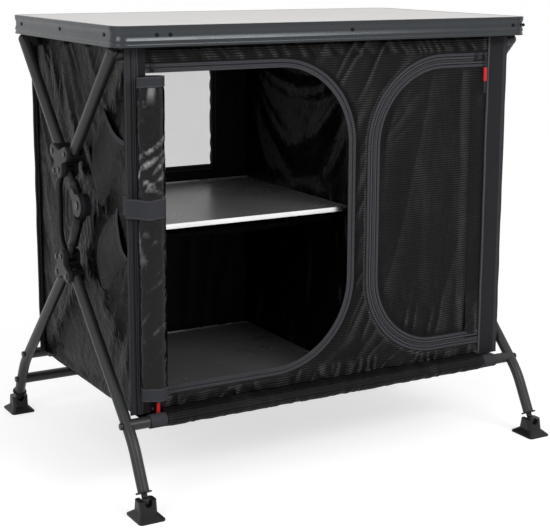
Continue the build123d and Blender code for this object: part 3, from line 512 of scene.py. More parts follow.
def distance_to(path, s, t):
    """Signed distance to a closed outline, below 0 inside, and the nearest point on it."""
    closed = np.vstack([path, path[:1]])
    dense = np.concatenate([np.linspace(a, b, 9)[:-1] for a, b in zip(closed[:-1], closed[1:])])
    place = np.stack([s.ravel(), t.ravel()], -1)
    best = np.full(len(place), 1e9)
    nearest = np.zeros_like(place)
    for chunk in np.array_split(dense, 24):
        gap = ((place[:, None] - chunk[None]) ** 2).sum(-1)
        k = gap.argmin(1)
        d = gap[np.arange(len(place)), k]
        closer = d < best
        best[closer], nearest[closer] = d[closer], chunk[k[closer]]
    inside = np.zeros(len(place), bool)
    for (x0, y0), (x1, y1) in zip(closed[:-1], closed[1:]):
        if y0 != y1:
            cross = ((y0 > place[:, 1]) != (y1 > place[:, 1])) & (
                place[:, 0] < (x1 - x0) * (place[:, 1] - y0) / (y1 - y0) + x0
            )
            inside ^= cross
    return (np.sqrt(best) * np.where(inside, -1, 1)).reshape(s.shape), nearest.reshape(*s.shape, 2)


def drape(obj, held, rest, cap, frames=26):
    """Cloth simulation of a piece cut a little larger than the space it hangs in; no point moves further than cap."""
    start = np.array([v.co for v in obj.data.vertices])
    group = obj.vertex_groups.new(name="held")
    for index, weight in enumerate(held):
        if weight > 0.01:
            group.add([index], float(weight), "REPLACE")
    obj.shape_key_add(name="Basis")
    key = obj.shape_key_add(name="Rest")
    key.data.foreach_set("co", np.asarray(rest, np.float32).ravel())
    key.value = 0.0
    modifier = obj.modifiers.new("Cloth", "CLOTH")
    cloth = modifier.settings
    cloth.vertex_group_mass = "held"
    cloth.rest_shape_key = key
    cloth.quality = 6
    cloth.mass = 0.12
    cloth.tension_stiffness = cloth.compression_stiffness = 22
    cloth.shear_stiffness = 8
    cloth.bending_stiffness = 0.15
    cloth.air_damping = 2.5
    modifier.collision_settings.use_collision = False
    modifier.collision_settings.use_self_collision = False
    modifier.point_cache.frame_start = 1
    modifier.point_cache.frame_end = frames
    for step in range(1, frames + 1):
        scene.frame_set(step)
    result = obj.evaluated_get(bpy.context.evaluated_depsgraph_get()).to_mesh()
    moved = np.array([v.co for v in result.vertices])
    obj.modifiers.remove(modifier)
    obj.shape_key_clear()
    shift = moved - start
    size = np.linalg.norm(shift, axis=1)[:, None]
    shift *= np.tanh(size / cap) * cap / np.maximum(size, 1e-9)
    obj.data.vertices.foreach_set("co", (start + shift).astype(np.float32).ravel())
    obj.data.update()
    scene.frame_set(1)


def wall(name, s_range, t_range, step, place, normal, materials, held, slack, cap, lift=None, holes=(), detail=None):
    """Stretched sheet over an (s, t) rectangle; place turns (s, t) into a point and lift pushes it along the normal.

    It is cut larger by slack, simulated with its held points still, and moved by cap at most.
    """
    columns = int(round((s_range[1] - s_range[0]) / step)) + 1
    rows = int(round((t_range[1] - t_range[0]) / step)) + 1
    s, t = np.meshgrid(np.linspace(*s_range, columns), np.linspace(*t_range, rows))
    gone = np.zeros((rows - 1, columns - 1), bool)
    for path in holes:
        away, nearest = distance_to(path, s, t)
        snap = np.abs(away) < step * 0.62
        s, t = np.where(snap, nearest[..., 0], s), np.where(snap, nearest[..., 1], t)
        middle = [(a[1:, 1:] + a[:-1, 1:] + a[1:, :-1] + a[:-1, :-1]) / 4 for a in (s, t)]
        gone |= distance_to(path, *middle)[0] < 0
    raised = np.zeros_like(s) if lift is None else lift(s, t)
    normal = np.asarray(normal, float)
    points = place(s, t) + raised[..., None] * normal
    faces = [f for f, g in zip(quads(rows, columns), gone.ravel()) if not g]
    used = np.unique(np.array(faces).ravel())
    renumber = np.full(rows * columns, -1)
    renumber[used] = np.arange(len(used))
    faces = [tuple(int(renumber[i]) for i in f) for f in faces]
    points = points.reshape(-1, 3)[used]
    uvs = np.stack([s, t], -1).reshape(-1, 2)[used]
    obj = build(name, points, faces, uvs, materials)
    weights = np.clip(held(s, t), 0, 1).ravel()[used]
    origin, end_s, end_t = (place(np.array(a), np.array(b)) for a, b in ((0.0, 0.0), (1.0, 0.0), (0.0, 1.0)))
    from_middle = points - points.mean(0)
    rest = points.copy()
    for axis, extra in ((end_s - origin, slack[0]), (end_t - origin, slack[1])):
        rest += (from_middle @ axis)[:, None] * extra * axis
    drape(obj, weights, rest, cap)
    if detail is not None:
        refine(obj, detail, normal)
    thicken(obj, 0.0012, inner=1)
    if detail is None:
        soften(obj)
    return obj


def refine(obj, detail, normal):
    """Splits each face in four, pushes the points out by detail(s, t) and writes which sides of its folds are lit, as
    the lit and dim attributes that the cloth colours paint as highlight and shade.
    """
    apply(obj, soften(obj))
    mesh = obj.data
    loops = np.zeros(len(mesh.loops), np.int32)
    mesh.loops.foreach_get("vertex_index", loops)
    uv = np.zeros(2 * len(mesh.loops), np.float32)
    mesh.uv_layers[0].data.foreach_get("uv", uv)
    places = np.zeros((len(mesh.vertices), 2))
    places[loops] = uv.reshape(-1, 2)
    points = np.zeros(3 * len(mesh.vertices), np.float32)
    mesh.vertices.foreach_get("co", points)
    s, t = places[:, 0], places[:, 1]
    # Painted highlight and shade: the slope of the folds across s, kept as lit and dim.
    slope = detail(s + 0.002, t) - detail(s - 0.002, t)
    for name, sign in (("lit", -1), ("dim", 1)):
        values = np.clip(sign * slope / 0.0016, 0, 1).astype(np.float32)
        mesh.attributes.new(name, "FLOAT", "POINT").data.foreach_set("value", values)
    points = points.reshape(-1, 3) + detail(s, t)[:, None] * np.asarray(normal, float)
    mesh.vertices.foreach_set("co", points.astype(np.float32).ravel())
    mesh.update()


def join(name, objects):
    """One object out of several."""
    for obj in objects:
        for modifier in list(obj.modifiers):
            apply(obj, modifier)
    with bpy.context.temp_override(
        active_object=objects[0], object=objects[0], selected_objects=objects, selected_editable_objects=objects
    ):
        bpy.ops.object.join()
    objects[0].name = name
    return objects[0]


def settle(obj, slot, *replaced, body="lower_frame", squashes=True, foot=LOW_Z, keep=KEEP):
    """Hooks a piece to its body, hides the parts it replaces and, when squashes is set, gives it a mesh of its own."""
    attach(obj, body)
    if replaced:
        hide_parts(*replaced)
    if squashes:
        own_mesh(obj)
    return obj


# Outlines of the openings
CUT_BACK = 0.004
left_edge, left_cut = d_path(LEFT_D)[0], d_path(LEFT_D, CUT_BACK)[0]
door_edge, door_cut = d_path(DOOR_D)[0], d_path(DOOR_D, CUT_BACK, FOLD_X + 0.0001)[0]
window_cut = np.array([(WINDOW[0], WINDOW[2]), (WINDOW[1], WINDOW[2]), (WINDOW[1], WINDOW[3]), (WINDOW[0], WINDOW[3])])


def facing_front(y):
    """Places (s, t) as (x, z) in the plane at y."""
    return lambda s, t: np.stack([s, np.full_like(s, y), t], -1)


def facing_end(x):
    """Places (s, t) as (y, z) in the plane at x."""
    return lambda s, t: np.stack([np.full_like(s, x), s, t], -1)


def tape_gap(s, t):
    """Distance from the middle of the nearer opening's tape."""
    return np.minimum(*(np.abs(distance_to(edge, s, t)[0] - 0.007) for edge in (left_edge, door_edge)))


def front_detail(s, t):
    """Gathers along the top and bottom of the front and slanting pulls between the openings."""
    free = ease(tape_gap(s, t), 0.0075, 0.014) * ease(s, -0.372, -0.360) * (1 - ease(s, 0.350, 0.364))
    upper = ease(t, 0.770, 0.780) * (1 - 0.5 * ease(t, 0.796, 0.801))
    lower = (1 - ease(t, 0.176, 0.192)) * ease(t, 0.153, 0.160)
    gathers = creases(s, t, 128, 0.07, 0.013, 3)
    hems = creases(s, t, 70, 0.06, 0.017, 9)
    between = ease(s, -0.10, 0.02) * (1 - ease(s, 0.13, 0.22)) * ease(t, 0.18, 0.24)
    pulls = creases(s, t, 60, 0.14, 0.022, 17)
    low_pulls = creases(s, t, 38, 0.12, 0.020, 19) * (1 - ease(t, 0.20, 0.30))
    return free * (0.0055 * gathers * upper + 0.0055 * hems * lower + 0.0050 * pulls * between + 0.0045 * low_pulls)


def front_held(s, t):
    rails = np.maximum(ease(t, 0.786, 0.796), 1 - ease(t, 0.156, 0.168))
    posts = np.maximum(1 - ease(s, -0.372, -0.362), ease(s, 0.356, 0.364))
    return np.maximum(np.maximum(rails, posts), 1 - ease(tape_gap(s, t), 0.010, 0.022) > 0.35)


def side_lift(seed, s, t):
    """Broad pulls on an end wall, shallow near its edges and at the shelf."""
    inner = ease(HALF_Y - np.abs(s), 0.0, 0.05) * ease(t, LOW_Z, LOW_Z + 0.05) * (1 - ease(t, 0.785, 0.801))
    broad = creases(s, t, 56, 0.6, 0.075, seed) - 0.55
    low = creases(s, t, -66, 0.5, 0.080, seed + 7) - 0.55
    above = ease(t, 0.46, 0.60)
    near_shelf = np.exp(-(((t - SHELF_Z) / 0.02) ** 2))
    pulled = inner * (0.010 * broad * above + 0.006 * low * (1 - above))
    return np.clip(pulled, -0.008 + 0.005 * near_shelf, 0.007)


def side_detail(seed, s, t):
    """Narrow diagonal folds that start at the upper corners."""
    inner = ease(HALF_Y - np.abs(s), 0.0, 0.03) * ease(t, LOW_Z, LOW_Z + 0.04) * (1 - ease(t, 0.790, 0.801))
    rear = creases(s, t, 57, 0.55, 0.026, seed + 1) * ease(s + 0.5 * (t - 0.65), -0.06, 0.12)
    front = creases(s, t, -62, 0.40, 0.026, seed + 3) * (1 - ease(s, -0.16, 0.02)) * ease(t, 0.55, 0.70)
    waist = creases(s, t, 84, 0.10, 0.018, seed + 5) * np.exp(-(((t - SHELF_Z) / 0.05) ** 2))
    return inner * (0.0030 * rear * ease(t, 0.50, 0.60) + 0.0026 * front + 0.0018 * waist)


def near_rails(t):
    return np.maximum(ease(t, 0.785, 0.797), 1 - ease(t, 0.156, 0.166))


def side_held(s, t):
    edge = 1 - ease(HALF_Y - np.abs(s), 0.004, 0.014)
    rails = near_rails(t)
    seam = (1 - ease(np.abs(t - SHELF_Z + 0.006), 0.004, 0.010)) * 0.8
    return np.maximum(np.maximum(edge, rails), seam)


def rear_held(s, t):
    edge = 1 - ease(HALF_X - np.abs(s), 0.004, 0.03)
    rails = near_rails(t)
    near = np.abs(distance_to(window_cut, s, t)[0]) < 0.014
    return np.maximum(np.maximum(edge, rails), near)


def plain_lift(seed, angle, depth, still, s, t):
    """Long folds on a wall, away from the outline that stays still."""
    inner = ease(t, LOW_Z, LOW_Z + 0.04) * (1 - ease(t, 0.77, 0.801))
    away = 1.0 if still is None else ease(np.abs(distance_to(still, s, t)[0]), 0.004, 0.060)
    return depth * inner * away * (creases(s, t, angle, 0.28, 0.05, seed) - 0.6)


front_wall = wall(
    "front_wall", (-HALF_X, HALF_X), (LOW_Z, TOP_Z), 0.0075, facing_front(-HALF_Y), (0, -1, 0), [OUTER, LINING],
    front_held, (0.012, 0.014), 0.006, holes=(left_cut, door_cut), detail=front_detail,
)
settle(front_wall, "outer_fabric", "front_panel")

rear_wall = wall(
    "rear_wall", (-HALF_X, HALF_X), (LOW_Z, TOP_Z), 0.009, facing_front(HALF_Y), (0, 1, 0), [OUTER, LINING],
    rear_held, (0.012, 0.012), 0.010, lift=partial(plain_lift, 41, 80, 0.006, window_cut),
    holes=(window_cut,),
)
settle(rear_wall, "outer_fabric", "rear_panel")

for name, way, seed in (("left", -1, 21), ("right", 1, 33)):
    side_wall = wall(
        f"{name}_wall", (-HALF_Y + 0.0003, HALF_Y - 0.0003), (LOW_Z, TOP_Z), 0.0075, facing_end(way * HALF_X),
        (way, 0, 0), [SIDE, LINING], side_held, (0.014, 0.012), 0.006, lift=partial(side_lift, seed),
        detail=partial(side_detail, seed),
    )
    settle(side_wall, "outer_fabric", f"{name}_panel")

divider = wall(
    "divider", (-HALF_Y + 0.003, HALF_Y - 0.003), (LOW_Z, TOP_Z - 0.0215), 0.009, facing_end(DIVIDER_X), (-1, 0, 0),
    [LINING, LINING], side_held, (0.022, 0.02), 0.014,
    lift=partial(plain_lift, 57, 100, 0.012, None),
)
settle(divider, "lining_fabric", "divider_panel", keep=(DIVIDER_LENGTH - FOLD_TRAVEL - 0.0015) / DIVIDER_LENGTH)


# Right door: the flap between its tape, which folds along its right edge


def door_detail(s, t):
    """Pulls from the rounded corners of the door and a broad slack in its middle."""
    inner = ease(-distance_to(door_edge, s, t)[0], 0.012, 0.030) * (1 - ease(s, 0.300, 0.326))
    corner = creases(s, t, 40, 0.12, 0.020, 71) * (1 - ease(s, 0.15, 0.24)) * ease(t, 0.58, 0.70)
    foot = creases(s, t, 80, 0.09, 0.020, 73) * (1 - ease(t, 0.21, 0.34))
    broad = creases(s, t, 74, 0.5, 0.070, 77)
    return inner * (0.0046 * corner + 0.0042 * foot + 0.0040 * broad - 0.001)


def door_held(s, t):
    edge = 1 - ease(-distance_to(door_edge, s, t)[0], 0.014, 0.022)
    return np.maximum(edge, ease(s, 0.318, 0.326))


DOOR_RIGHT_X = 0.340
door_inside = d_path(DOOR_D, -0.001, DOOR_RIGHT_X)[0]
door_outside = np.vstack([door_inside, [(DOOR_RIGHT_X, 0.05), (0.0, 0.05), (0.0, 0.9), (DOOR_RIGHT_X, 0.9)]])
door_cloth = wall(
    "door_cloth", (0.092, FOLD_X - 0.0003), (0.186, 0.763), 0.0075, facing_front(-HALF_Y), (0, -1, 0),
    [OUTER, LINING], door_held, (0.010, 0.008), 0.005, holes=(door_outside,), detail=door_detail,
)
settle(door_cloth, "outer_fabric", "right_door", body="door")


# Tapes and zips


INNER_BAND, OUTER_BAND = (-0.0072, -0.0024, 0.0013, 0.0004), (-0.0140, -0.0078, 0.0017, 0.0004)


def front_run(name, outline, straight, bands, material, *replaced, body="lower_frame"):
    """Bands that follow a D outline on the front; each is (inner, outer, height, base) from the outline."""
    path, normals = d_path(outline, 0.0, straight)
    flat = facing_front(-HALF_Y)
    away = facing_front(0.0)
    made = [
        ribbon(f"{name}_{i}", flat(*path.T), away(*normals.T), (0, -1, 0), band_profile(*band), material)
        for i, band in enumerate(bands)
    ]
    settle(join(name, made) if len(made) > 1 else made[0], "binding_tape", *replaced, body=body)


front_run(
    "left_opening_tape", LEFT_D, LEFT_SEAM_X, [(0.0, 0.0068, 0.0012, 0.0004), (0.0074, 0.0142, 0.0016, 0.0004)],
    TAPE, "opening_tapes",
)
front_run("left_opening_zip", LEFT_D, LEFT_SEAM_X, [(-0.0016, 0.0010, 0.0022, 0.0)], COIL)
front_run(
    "door_surround_tape", DOOR_D, RIGHT_SEAM_X, [(0.0022, 0.0072, 0.0013, 0.0004), (0.0078, 0.0142, 0.0017, 0.0004)],
    TAPE,
)
front_run("door_zip_outer", DOOR_D, RIGHT_SEAM_X, [(0.0002, 0.0018, 0.0024, 0.0002)], COIL)
front_run("door_tape", DOOR_D, FOLD_X - 0.0003, [INNER_BAND, OUTER_BAND], TAPE, "right_door_tape", body="door")
front_run("door_zip_inner", DOOR_D, FOLD_X - 0.0003, [(-0.0019, -0.0003, 0.0024, 0.0002)], COIL, body="door")
sewn = []
for z, way in ((DOOR_D[3], 1), (DOOR_D[2], -1)):
    line = np.linspace((FOLD_X, -HALF_Y, z), (RIGHT_SEAM_X, -HALF_Y, z), 12)
    for band in (INNER_BAND, OUTER_BAND):
        sewn.append(ribbon("sewn", line, (0, 0, way), (0, -1, 0), band_profile(*band), TAPE))
settle(join("door_tape_ends", sewn), "binding_tape")


def upright(name, x, y, side, out, profile, material, seed=1):
    """Vertical band at (x, y) over the height of the walls."""
    z = np.linspace(LOW_Z, TOP_Z, 90)
    centers = np.stack([np.full_like(z, x), np.full_like(z, y), z], -1)
    centers += np.outer(0.0006 * noise2(z * 24, z * 0 + seed, seed), side)
    return ribbon(name, centers, side, out, profile, material)


RING = [(0.0021 * math.cos(a), 0.0021 * math.sin(a)) for a in np.linspace(0, 2 * math.pi, 9)]
STRIP_WIDTH, DOOR_STRIP_WIDTH = 0.029, 0.040
bands = []
for end in (-1, 1):
    for side in (-1, 1):
        x, y, tag, seed = side * HALF_X, end * HALF_Y, f"{end}_{side}", side + 3 * end
        wide = DOOR_STRIP_WIDTH if end < 0 < side else STRIP_WIDTH
        strip = band_profile(0.0003, wide, 0.0012, 0.0003)
        bands.append(upright(f"strip_{tag}", x, y, (-side, 0, 0), (0, end, 0), strip, CORNER, seed))
        for low, high in ((0.0035, 0.0072), (0.0112, 0.0150)) if side < 0 else ((wide - 0.006, wide),):
            edge = band_profile(low, high, 0.0012, 0.0012)
            bands.append(upright(f"edge_{tag}_{low}", x, y, (-side, 0, 0), (0, end, 0), edge, TAPE, seed))
        flange = band_profile(-0.0020, 0.0085, 0.0022, -0.0010)
        bands.append(upright(f"flange_{tag}", x, y, (side, 0, 0), (0, end, 0), flange, BAND, 7 + side))
        bands.append(upright(f"piping_{tag}", x + side * 0.0078, y, (1, 0, 0), (0, 1, 0), RING, BAND, 7 + side))
settle(join("corner_bands", bands), "binding_tape", "fabric_bindings")
coil = band_profile(-0.0018, 0.0018, 0.0012, 0.0014)
corner_zips = [
    upright(f"corner_zip_{end}", -HALF_X + 0.0092, end * HALF_Y, (1, 0, 0), (0, end, 0), coil, COIL) for end in (-1, 1)
]
settle(join("corner_zips", corner_zips), "binding_tape")

# Binding round the rear window, inside and out
pieces = []
for face, out in ((HALF_Y, 1), (HALF_Y - 0.0012, -1)):
    for (x0, z0), (x1, z1) in zip(window_cut, np.roll(window_cut, -1, axis=0)):
        line = np.linspace((x0, face, z0), (x1, face, z1), 30)
        way = np.array([x1 - x0, 0, z1 - z0])
        way = way / np.linalg.norm(way)
        line = line + np.linspace(-0.011, 0.011, 30)[:, None] * way
        profile = band_profile(-0.0006, 0.0115, 0.0012, 0.0002)
        pieces.append(ribbon(f"window_{len(pieces)}", line, (way[2], 0, -way[0]), (0, out, 0), profile, BLACK_BAND))
settle(join("window_binding", pieces), "binding_tape")


# Net in the rear window
NET_MARGIN = 0.004


def net_cloth():
    """Fine pale net that lets some light through."""
    m = Shader("window_net")
    space = m.coords()
    across, _, up = m.add("SeparateXYZ", None, {0: space}).outputs
    threads = m.math("MAXIMUM", m.wave(across, 0.0011), m.wave(up, 0.0011))
    sag = m.spread(m.noise(space, 9.0, 3.0), 0.30, 0.70, 0.42, 0.445)
    m.tint(m.noise(space, 30.0, 2.0), (0.46, 0.44, 0.46), (0.54, 0.52, 0.54))
    m.set(Alpha=m.times(sag, m.spread(threads, 0, 1, 0.94, 1.03)), Roughness=0.8)
    return m.material


x, z = np.meshgrid(
    np.linspace(WINDOW[0] - NET_MARGIN, WINDOW[1] + NET_MARGIN, 48),
    np.linspace(WINDOW[2] - NET_MARGIN, WINDOW[3] + NET_MARGIN, 34),
)
y = HALF_Y - 0.0008 - 0.0022 * creases(x, z, 82, 0.25, 0.06, 61) * ease(x - WINDOW[0], 0, 0.03)
net = settle(grid("window_net", np.stack([x, y, z], -1), np.stack([x, z], -1), [net_cloth()]), "lining_fabric")


# Skirts round the bottom rails


def skirt(name, low_x, high_x, end, material, pucker, seed, attached=True):
    """Cloth sleeve round a bottom rail, gathered where it leaves the wall."""
    columns = max(12, int((high_x - low_x) / 0.0035))
    x = np.linspace(low_x, high_x, columns)
    radius = RAIL_R + 0.0022
    angles = np.radians(np.linspace(80, -205, 34) if attached else np.linspace(200, -160, 40))
    middle = np.array([RAIL_Y, RAIL_Z])
    section = middle + radius * np.stack([np.cos(angles), np.sin(angles)], -1)
    if attached:
        start = [(HALF_Y + dy, LOW_Z + dz) for dy, dz in ((0.0005, 0.004), (0.004, 0.0055), (0.012, 0.0058))]
        section = np.vstack([start, section])
    away = section - middle
    away /= np.linalg.norm(away, axis=1)[:, None]
    xs, runs = np.meshgrid(x, run_along(section))
    fold = creases(xs + 0.5 * runs, runs, 88, 0.09, 0.013, seed)
    fade = np.exp(-runs / 0.032) * ease(xs, low_x, low_x + 0.02) + 0.25
    height = pucker * fold * fade
    yz = section[:, None] + away[:, None] * height[..., None]
    points = np.stack([xs, end * yz[..., 0], yz[..., 1]], -1)
    obj = grid(name, points, np.stack([xs, runs], -1), [material])
    thicken(obj, 0.0010, -end)
    return obj


front_skirt = skirt("front_skirt", -0.356, 0.3545, -1, OUTER, 0.0042, 81)
settle(front_skirt, "outer_fabric", "rail_sleeves", squashes=False)
rear_skirt = skirt("rear_skirt", -0.386, 0.386, 1, OUTER, 0.0042, 87)
settle(rear_skirt, "outer_fabric", squashes=False)
tabs = [
    skirt("tab_left", -0.388, -0.3565, -1, BAND, 0.0004, 5, False),
    skirt("tab_right", 0.3550, 0.3865, -1, BAND, 0.0004, 6, False),
]
settle(join("rail_tabs", tabs), "binding_tape", squashes=False)

# Seam binding where the front and rear walls meet their skirts
hems = []
for end, low_x, high_x in ((-1, -0.372, 0.362), (1, -0.372, 0.372)):
    x = np.linspace(low_x, high_x, 160)
    z = LOW_Z + 0.0062 + 0.0008 * noise2(x * 30, x * 0, 4)
    line = np.stack([x, np.full_like(x, end * (HALF_Y + 0.0010)), z], -1)
    hems.append(ribbon(f"hem_{end}", line, (0, 0, 1), (0, end, 0), band_profile(-0.0030, 0.0030, 0.0014), TAPE))
settle(join("skirt_hems", hems), "binding_tape")


# Left door, rolled up: a real spiral of cloth
ROLL_X, ROLL_Y = -0.3735, -0.2481
ROLL_A, ROLL_B = 0.0245, 0.0170
ROLL_LOW, ROLL_HIGH = 0.183, 0.755
STRAPS = ((0.736, 0.755), (0.510, 0.545), (0.183, 0.207))


def roll():
    """The door's cloth, wound up, drawn in by its straps and creased between them, with painted highlights on its outer
    turn written as lit; also its measured width.
    """
    turns, columns, rows = 3.6, 150, 116
    turn, z = np.meshgrid(np.linspace(0.0, turns, columns), np.linspace(ROLL_LOW, ROLL_HIGH, rows))
    share = 1 - 0.70 * (1 - turn / turns) ** 2
    angle = 2 * math.pi * turn + 3.2
    pinch, calm = np.ones_like(z), np.ones_like(z)
    for low, high in STRAPS:
        pinch -= 0.035 * np.exp(-(((z - (low + high) / 2) / 0.022) ** 2))
        calm *= 1 - np.exp(-(((z - (low + high) / 2) / (0.45 * (high - low) + 0.006)) ** 4))
    arc = angle * 0.022
    crumple = creases(arc, z, 38, 0.05, 0.016, 91) - 0.6 + 0.8 * (creases(arc, z, -34, 0.12, 0.030, 95) - 0.6)
    outside = calm * ease(turn, turns - 1.3, turns - 0.6)
    size = np.minimum(share * pinch + outside * (0.025 - 0.11 * np.maximum(crumple, -0.35)), 1.02)
    # Painted highlights: where the creases of the outer turn slope, strongest between 0.575 and 0.645 m up, the lit
    # attribute brightens the colour.
    facing = np.gradient(crumple, axis=0) * (0.25 + 0.75 * ease(z, 0.545, 0.575) * (1 - ease(z, 0.645, 0.675)))
    flat_side = 1 - 0.06 * np.cos(2 * angle)
    x = ROLL_X + ROLL_A * size * np.cos(angle)
    y = np.maximum(ROLL_Y + ROLL_B * size * np.sin(angle) * flat_side, ROLL_Y - ROLL_B)
    points = np.stack([x, y, z], -1)
    run = run_along(points[rows // 2])
    obj = grid("rolled_door", points, np.stack([np.broadcast_to(run, z.shape), z], -1), [ROLLED])
    shine = np.clip((facing - 0.055) * 7.0, 0, 1) * (outside > 0.3)
    obj.data.attributes.new("lit", "FLOAT", "POINT").data.foreach_set("value", shine.astype(np.float32).ravel())
    thicken(obj, 0.0007)
    return obj, float(run[-1])


rolled_door, roll_length = roll()
settle(rolled_door, "lining_fabric", "left_door_roll")


def strap(name, low, high, seed, wraps=False):
    """Tape round the rolled door; one of them also goes round the corner of the cupboard."""
    a, b = ROLL_A * 0.962 + 0.0002, ROLL_B * 0.972 + 0.0004
    if wraps:
        line = [(-HALF_X - 0.0016, y) for y in np.linspace(-0.196, -0.2225, 8)]
        line += [(-HALF_X - 0.0108 + 0.0006 * k, y) for k, y in enumerate(np.linspace(-0.2275, -0.2325, 4))]
        angles = np.radians(np.linspace(196, 366, 60))
    else:
        line = []
        angles = np.radians(np.linspace(150, 395, 80))
    line += [(ROLL_X + a * math.cos(t), ROLL_Y + b * math.sin(t)) for t in angles]
    line = np.array(line)
    ways = directions(line)
    out = np.stack([ways[:, 1], -ways[:, 0], np.zeros(len(line))], -1)
    slope = 0.0015 * noise2(np.arange(len(line)) / 14.0, np.zeros(len(line)), seed)
    centers = np.stack([line[:, 0], line[:, 1], (low + high) / 2 + slope], -1)
    half = (high - low) / 2
    return ribbon(name, centers, (0, 0, 1), out, band_profile(-half, half, 0.0013), TAPE)


straps = [strap(f"strap_{i}", low, high, i, i == 1) for i, (low, high) in enumerate(STRAPS)]
settle(join("door_straps", straps), "binding_tape", "roll_straps")


# Side pockets: sagging patches with a bound mouth


def pocket(name, mouth_front, mouth_rear, foot_front, foot_rear, bulge, seed):
    """Patch of cloth sewn on three sides; its mouth stands away from the wall."""
    columns, rows = 34, 44
    u, v = np.meshgrid(np.linspace(0, 1, columns), np.linspace(0, 1, rows))
    back, down = u[..., None], v[..., None]
    mouth = np.array(mouth_front) * (1 - back) + np.array(mouth_rear) * back
    foot = np.array(foot_front) * (1 - back) + np.array(foot_rear) * back
    yz = mouth * (1 - down) + foot * down
    yz[..., 1] -= (0.003 * np.sin(math.pi * u) + 0.004 * np.sin(2 * math.pi * u)) * (1 - v) ** 2
    yz[..., 0] += bulge * np.sin(math.pi * v) * u
    swell = np.sin(math.pi * u) ** 0.7 * (0.35 + 0.65 * np.cos(0.5 * math.pi * v) ** 0.8)
    folds = creases(yz[..., 0], yz[..., 1], 60, 0.08, 0.020, seed) - 0.5
    folds += 0.6 * (creases(yz[..., 0], yz[..., 1], 130, 0.06, 0.018, seed + 4) - 0.5)
    folds *= np.sin(math.pi * u) * (0.3 + 0.7 * np.sin(math.pi * np.clip(v + 0.2, 0, 1)))
    out = 0.0015 + 0.0105 * swell + 0.0028 * folds
    points = np.stack([-HALF_X + 0.004 - out, yz[..., 0], yz[..., 1]], -1)
    width = float(run_along(points[rows // 2])[-1])
    height = float(run_along(points[:, columns // 2])[-1])
    patch = grid(name, points, np.stack([u * width, v * height], -1), [POCKET])
    thicken(patch, 0.0009)
    soften(patch)
    outward = (-1.0, 0, 0)
    inward = np.cross(directions(points[0]), outward)
    inward *= np.where(inward[:, 2:] > 0, -1, 1)
    profile = band_profile(-0.001, 0.008, 0.0018, -0.0006)
    return patch, ribbon(f"{name}_binding", points[0], inward, outward, profile, TAPE), (width, height)


# Pocket cloth: stronger painted sheen streaks.
POCKET = outer_fabric("pocket_cloth", (0.010, 0.0092, 0.0096), (0.105, 0.097, 0.100), 1.0, (16, 5), 0.24, 0.80)
UPPER_POCKET = ((-0.214, 0.638), (-0.108, 0.693), (-0.140, 0.531), (-0.074, 0.4935), 0.050)
LOWER_POCKET = ((-0.212, 0.429), (-0.166, 0.522), (-0.150, 0.380), (-0.093, 0.3315), 0.076)
pocket_bindings = []
for name, shape, seed, replaced in (
    ("upper_pocket", UPPER_POCKET, 101, ["side_pockets"]), ("lower_pocket", LOWER_POCKET, 109, []),
):
    patch, binding, flat = pocket(name, *shape, seed)
    settle(patch, "outer_fabric", *replaced)
    pocket_bindings.append(binding)
settle(join("pocket_bindings", pocket_bindings), "binding_tape")


# Shelf slings and floor cloth


SLING_DEPTH = 0.451


def sling(name, low_x, high_x):
    """Cloth under a shelf board; it hangs a little in front of and behind the board."""
    x, y = np.meshgrid(np.linspace(low_x, high_x, 46), np.linspace(-SLING_DEPTH / 2, SLING_DEPTH / 2, 60))
    belly = 1 - ((x - (low_x + high_x) / 2) / ((high_x - low_x) / 2)) ** 2
    near_edge = np.exp(-(((np.abs(y) - 0.208) / 0.013) ** 2))
    z = SHELF_Z - 0.0092 - 0.0008 - 0.0150 * belly * near_edge - 0.0025 * near_edge
    z -= 0.0018 * creases(x, y, 85, 0.03, 0.016, 121) * near_edge
    obj = grid(name, np.stack([x, y, z], -1), np.stack([x, y], -1), [LINING])
    soften(obj)
    return obj


for name, low_x, high_x, replaced in (
    ("left_sling", -HALF_X + 0.002, DIVIDER_X - 0.002, ["shelf_hammocks"]),
    ("right_sling", DIVIDER_X + 0.002, HALF_X - 0.002, []),
):
    piece = settle(sling(name, low_x, high_x), "lining_fabric", *replaced, body="middle_shelf", squashes=False)

half_depth = RAIL_Y - 0.010
x, y = np.meshgrid(np.linspace(-HALF_X + 0.001, HALF_X - 0.001, 60), np.linspace(-half_depth, half_depth, 40))
z = 0.1505 - 0.0016 * creases(x, y, 20, 0.2, 0.07, 131)
floor_cloth = grid("floor_cloth", np.stack([x, y, z], -1), np.stack([x, y], -1), [LINING])
settle(floor_cloth, "lining_fabric", "floor_fabric", squashes=False)


# Bowed spring strips beside the folding links: half a bow's (y, z), its mirror, and the straight between
HALF_BOW = np.array(
    [(0.024, 0.5577), (0.030, 0.5530), (0.040, 0.5440), (0.0465, 0.5345), (0.0493, 0.5240), (0.050, 0.5120)]
)
BOW_MIDDLE_Z = 0.480
lower = HALF_BOW[::-1] * (1, -1) + (0, 2 * BOW_MIDDLE_Z)
yz = np.vstack([HALF_BOW, np.stack([np.full(10, 0.050), np.linspace(0.506, 0.454, 10)], -1), lower])
ways = directions(yz)
half_section = [(-0.007, -0.0012), (-0.0062, 0.0015), (-0.004, 0.0019), (-0.0025, 0.0010)]
section = half_section + [(-x, y) for x, y in half_section[::-1]]
strips = []
for side in (-1, 1):
    centers = facing_end(side * LINK_X)(*yz.T)
    out = np.stack([np.zeros(len(yz)), -ways[:, 1], ways[:, 0]], -1)
    strips.append(ribbon(f"bow_{side}", centers, (1, 0, 0), out, section, STRIP, closed=True))
settle(
    join("spring_bows", strips), "spring_plastic", "spring_strips", foot=BOW_FOOT_Z,
    keep=(BOW_SPAN - FOLD_TRAVEL) / BOW_SPAN,
)


# Rounded caps in the upper ends of the struts, and the thick sleeves of the folding links


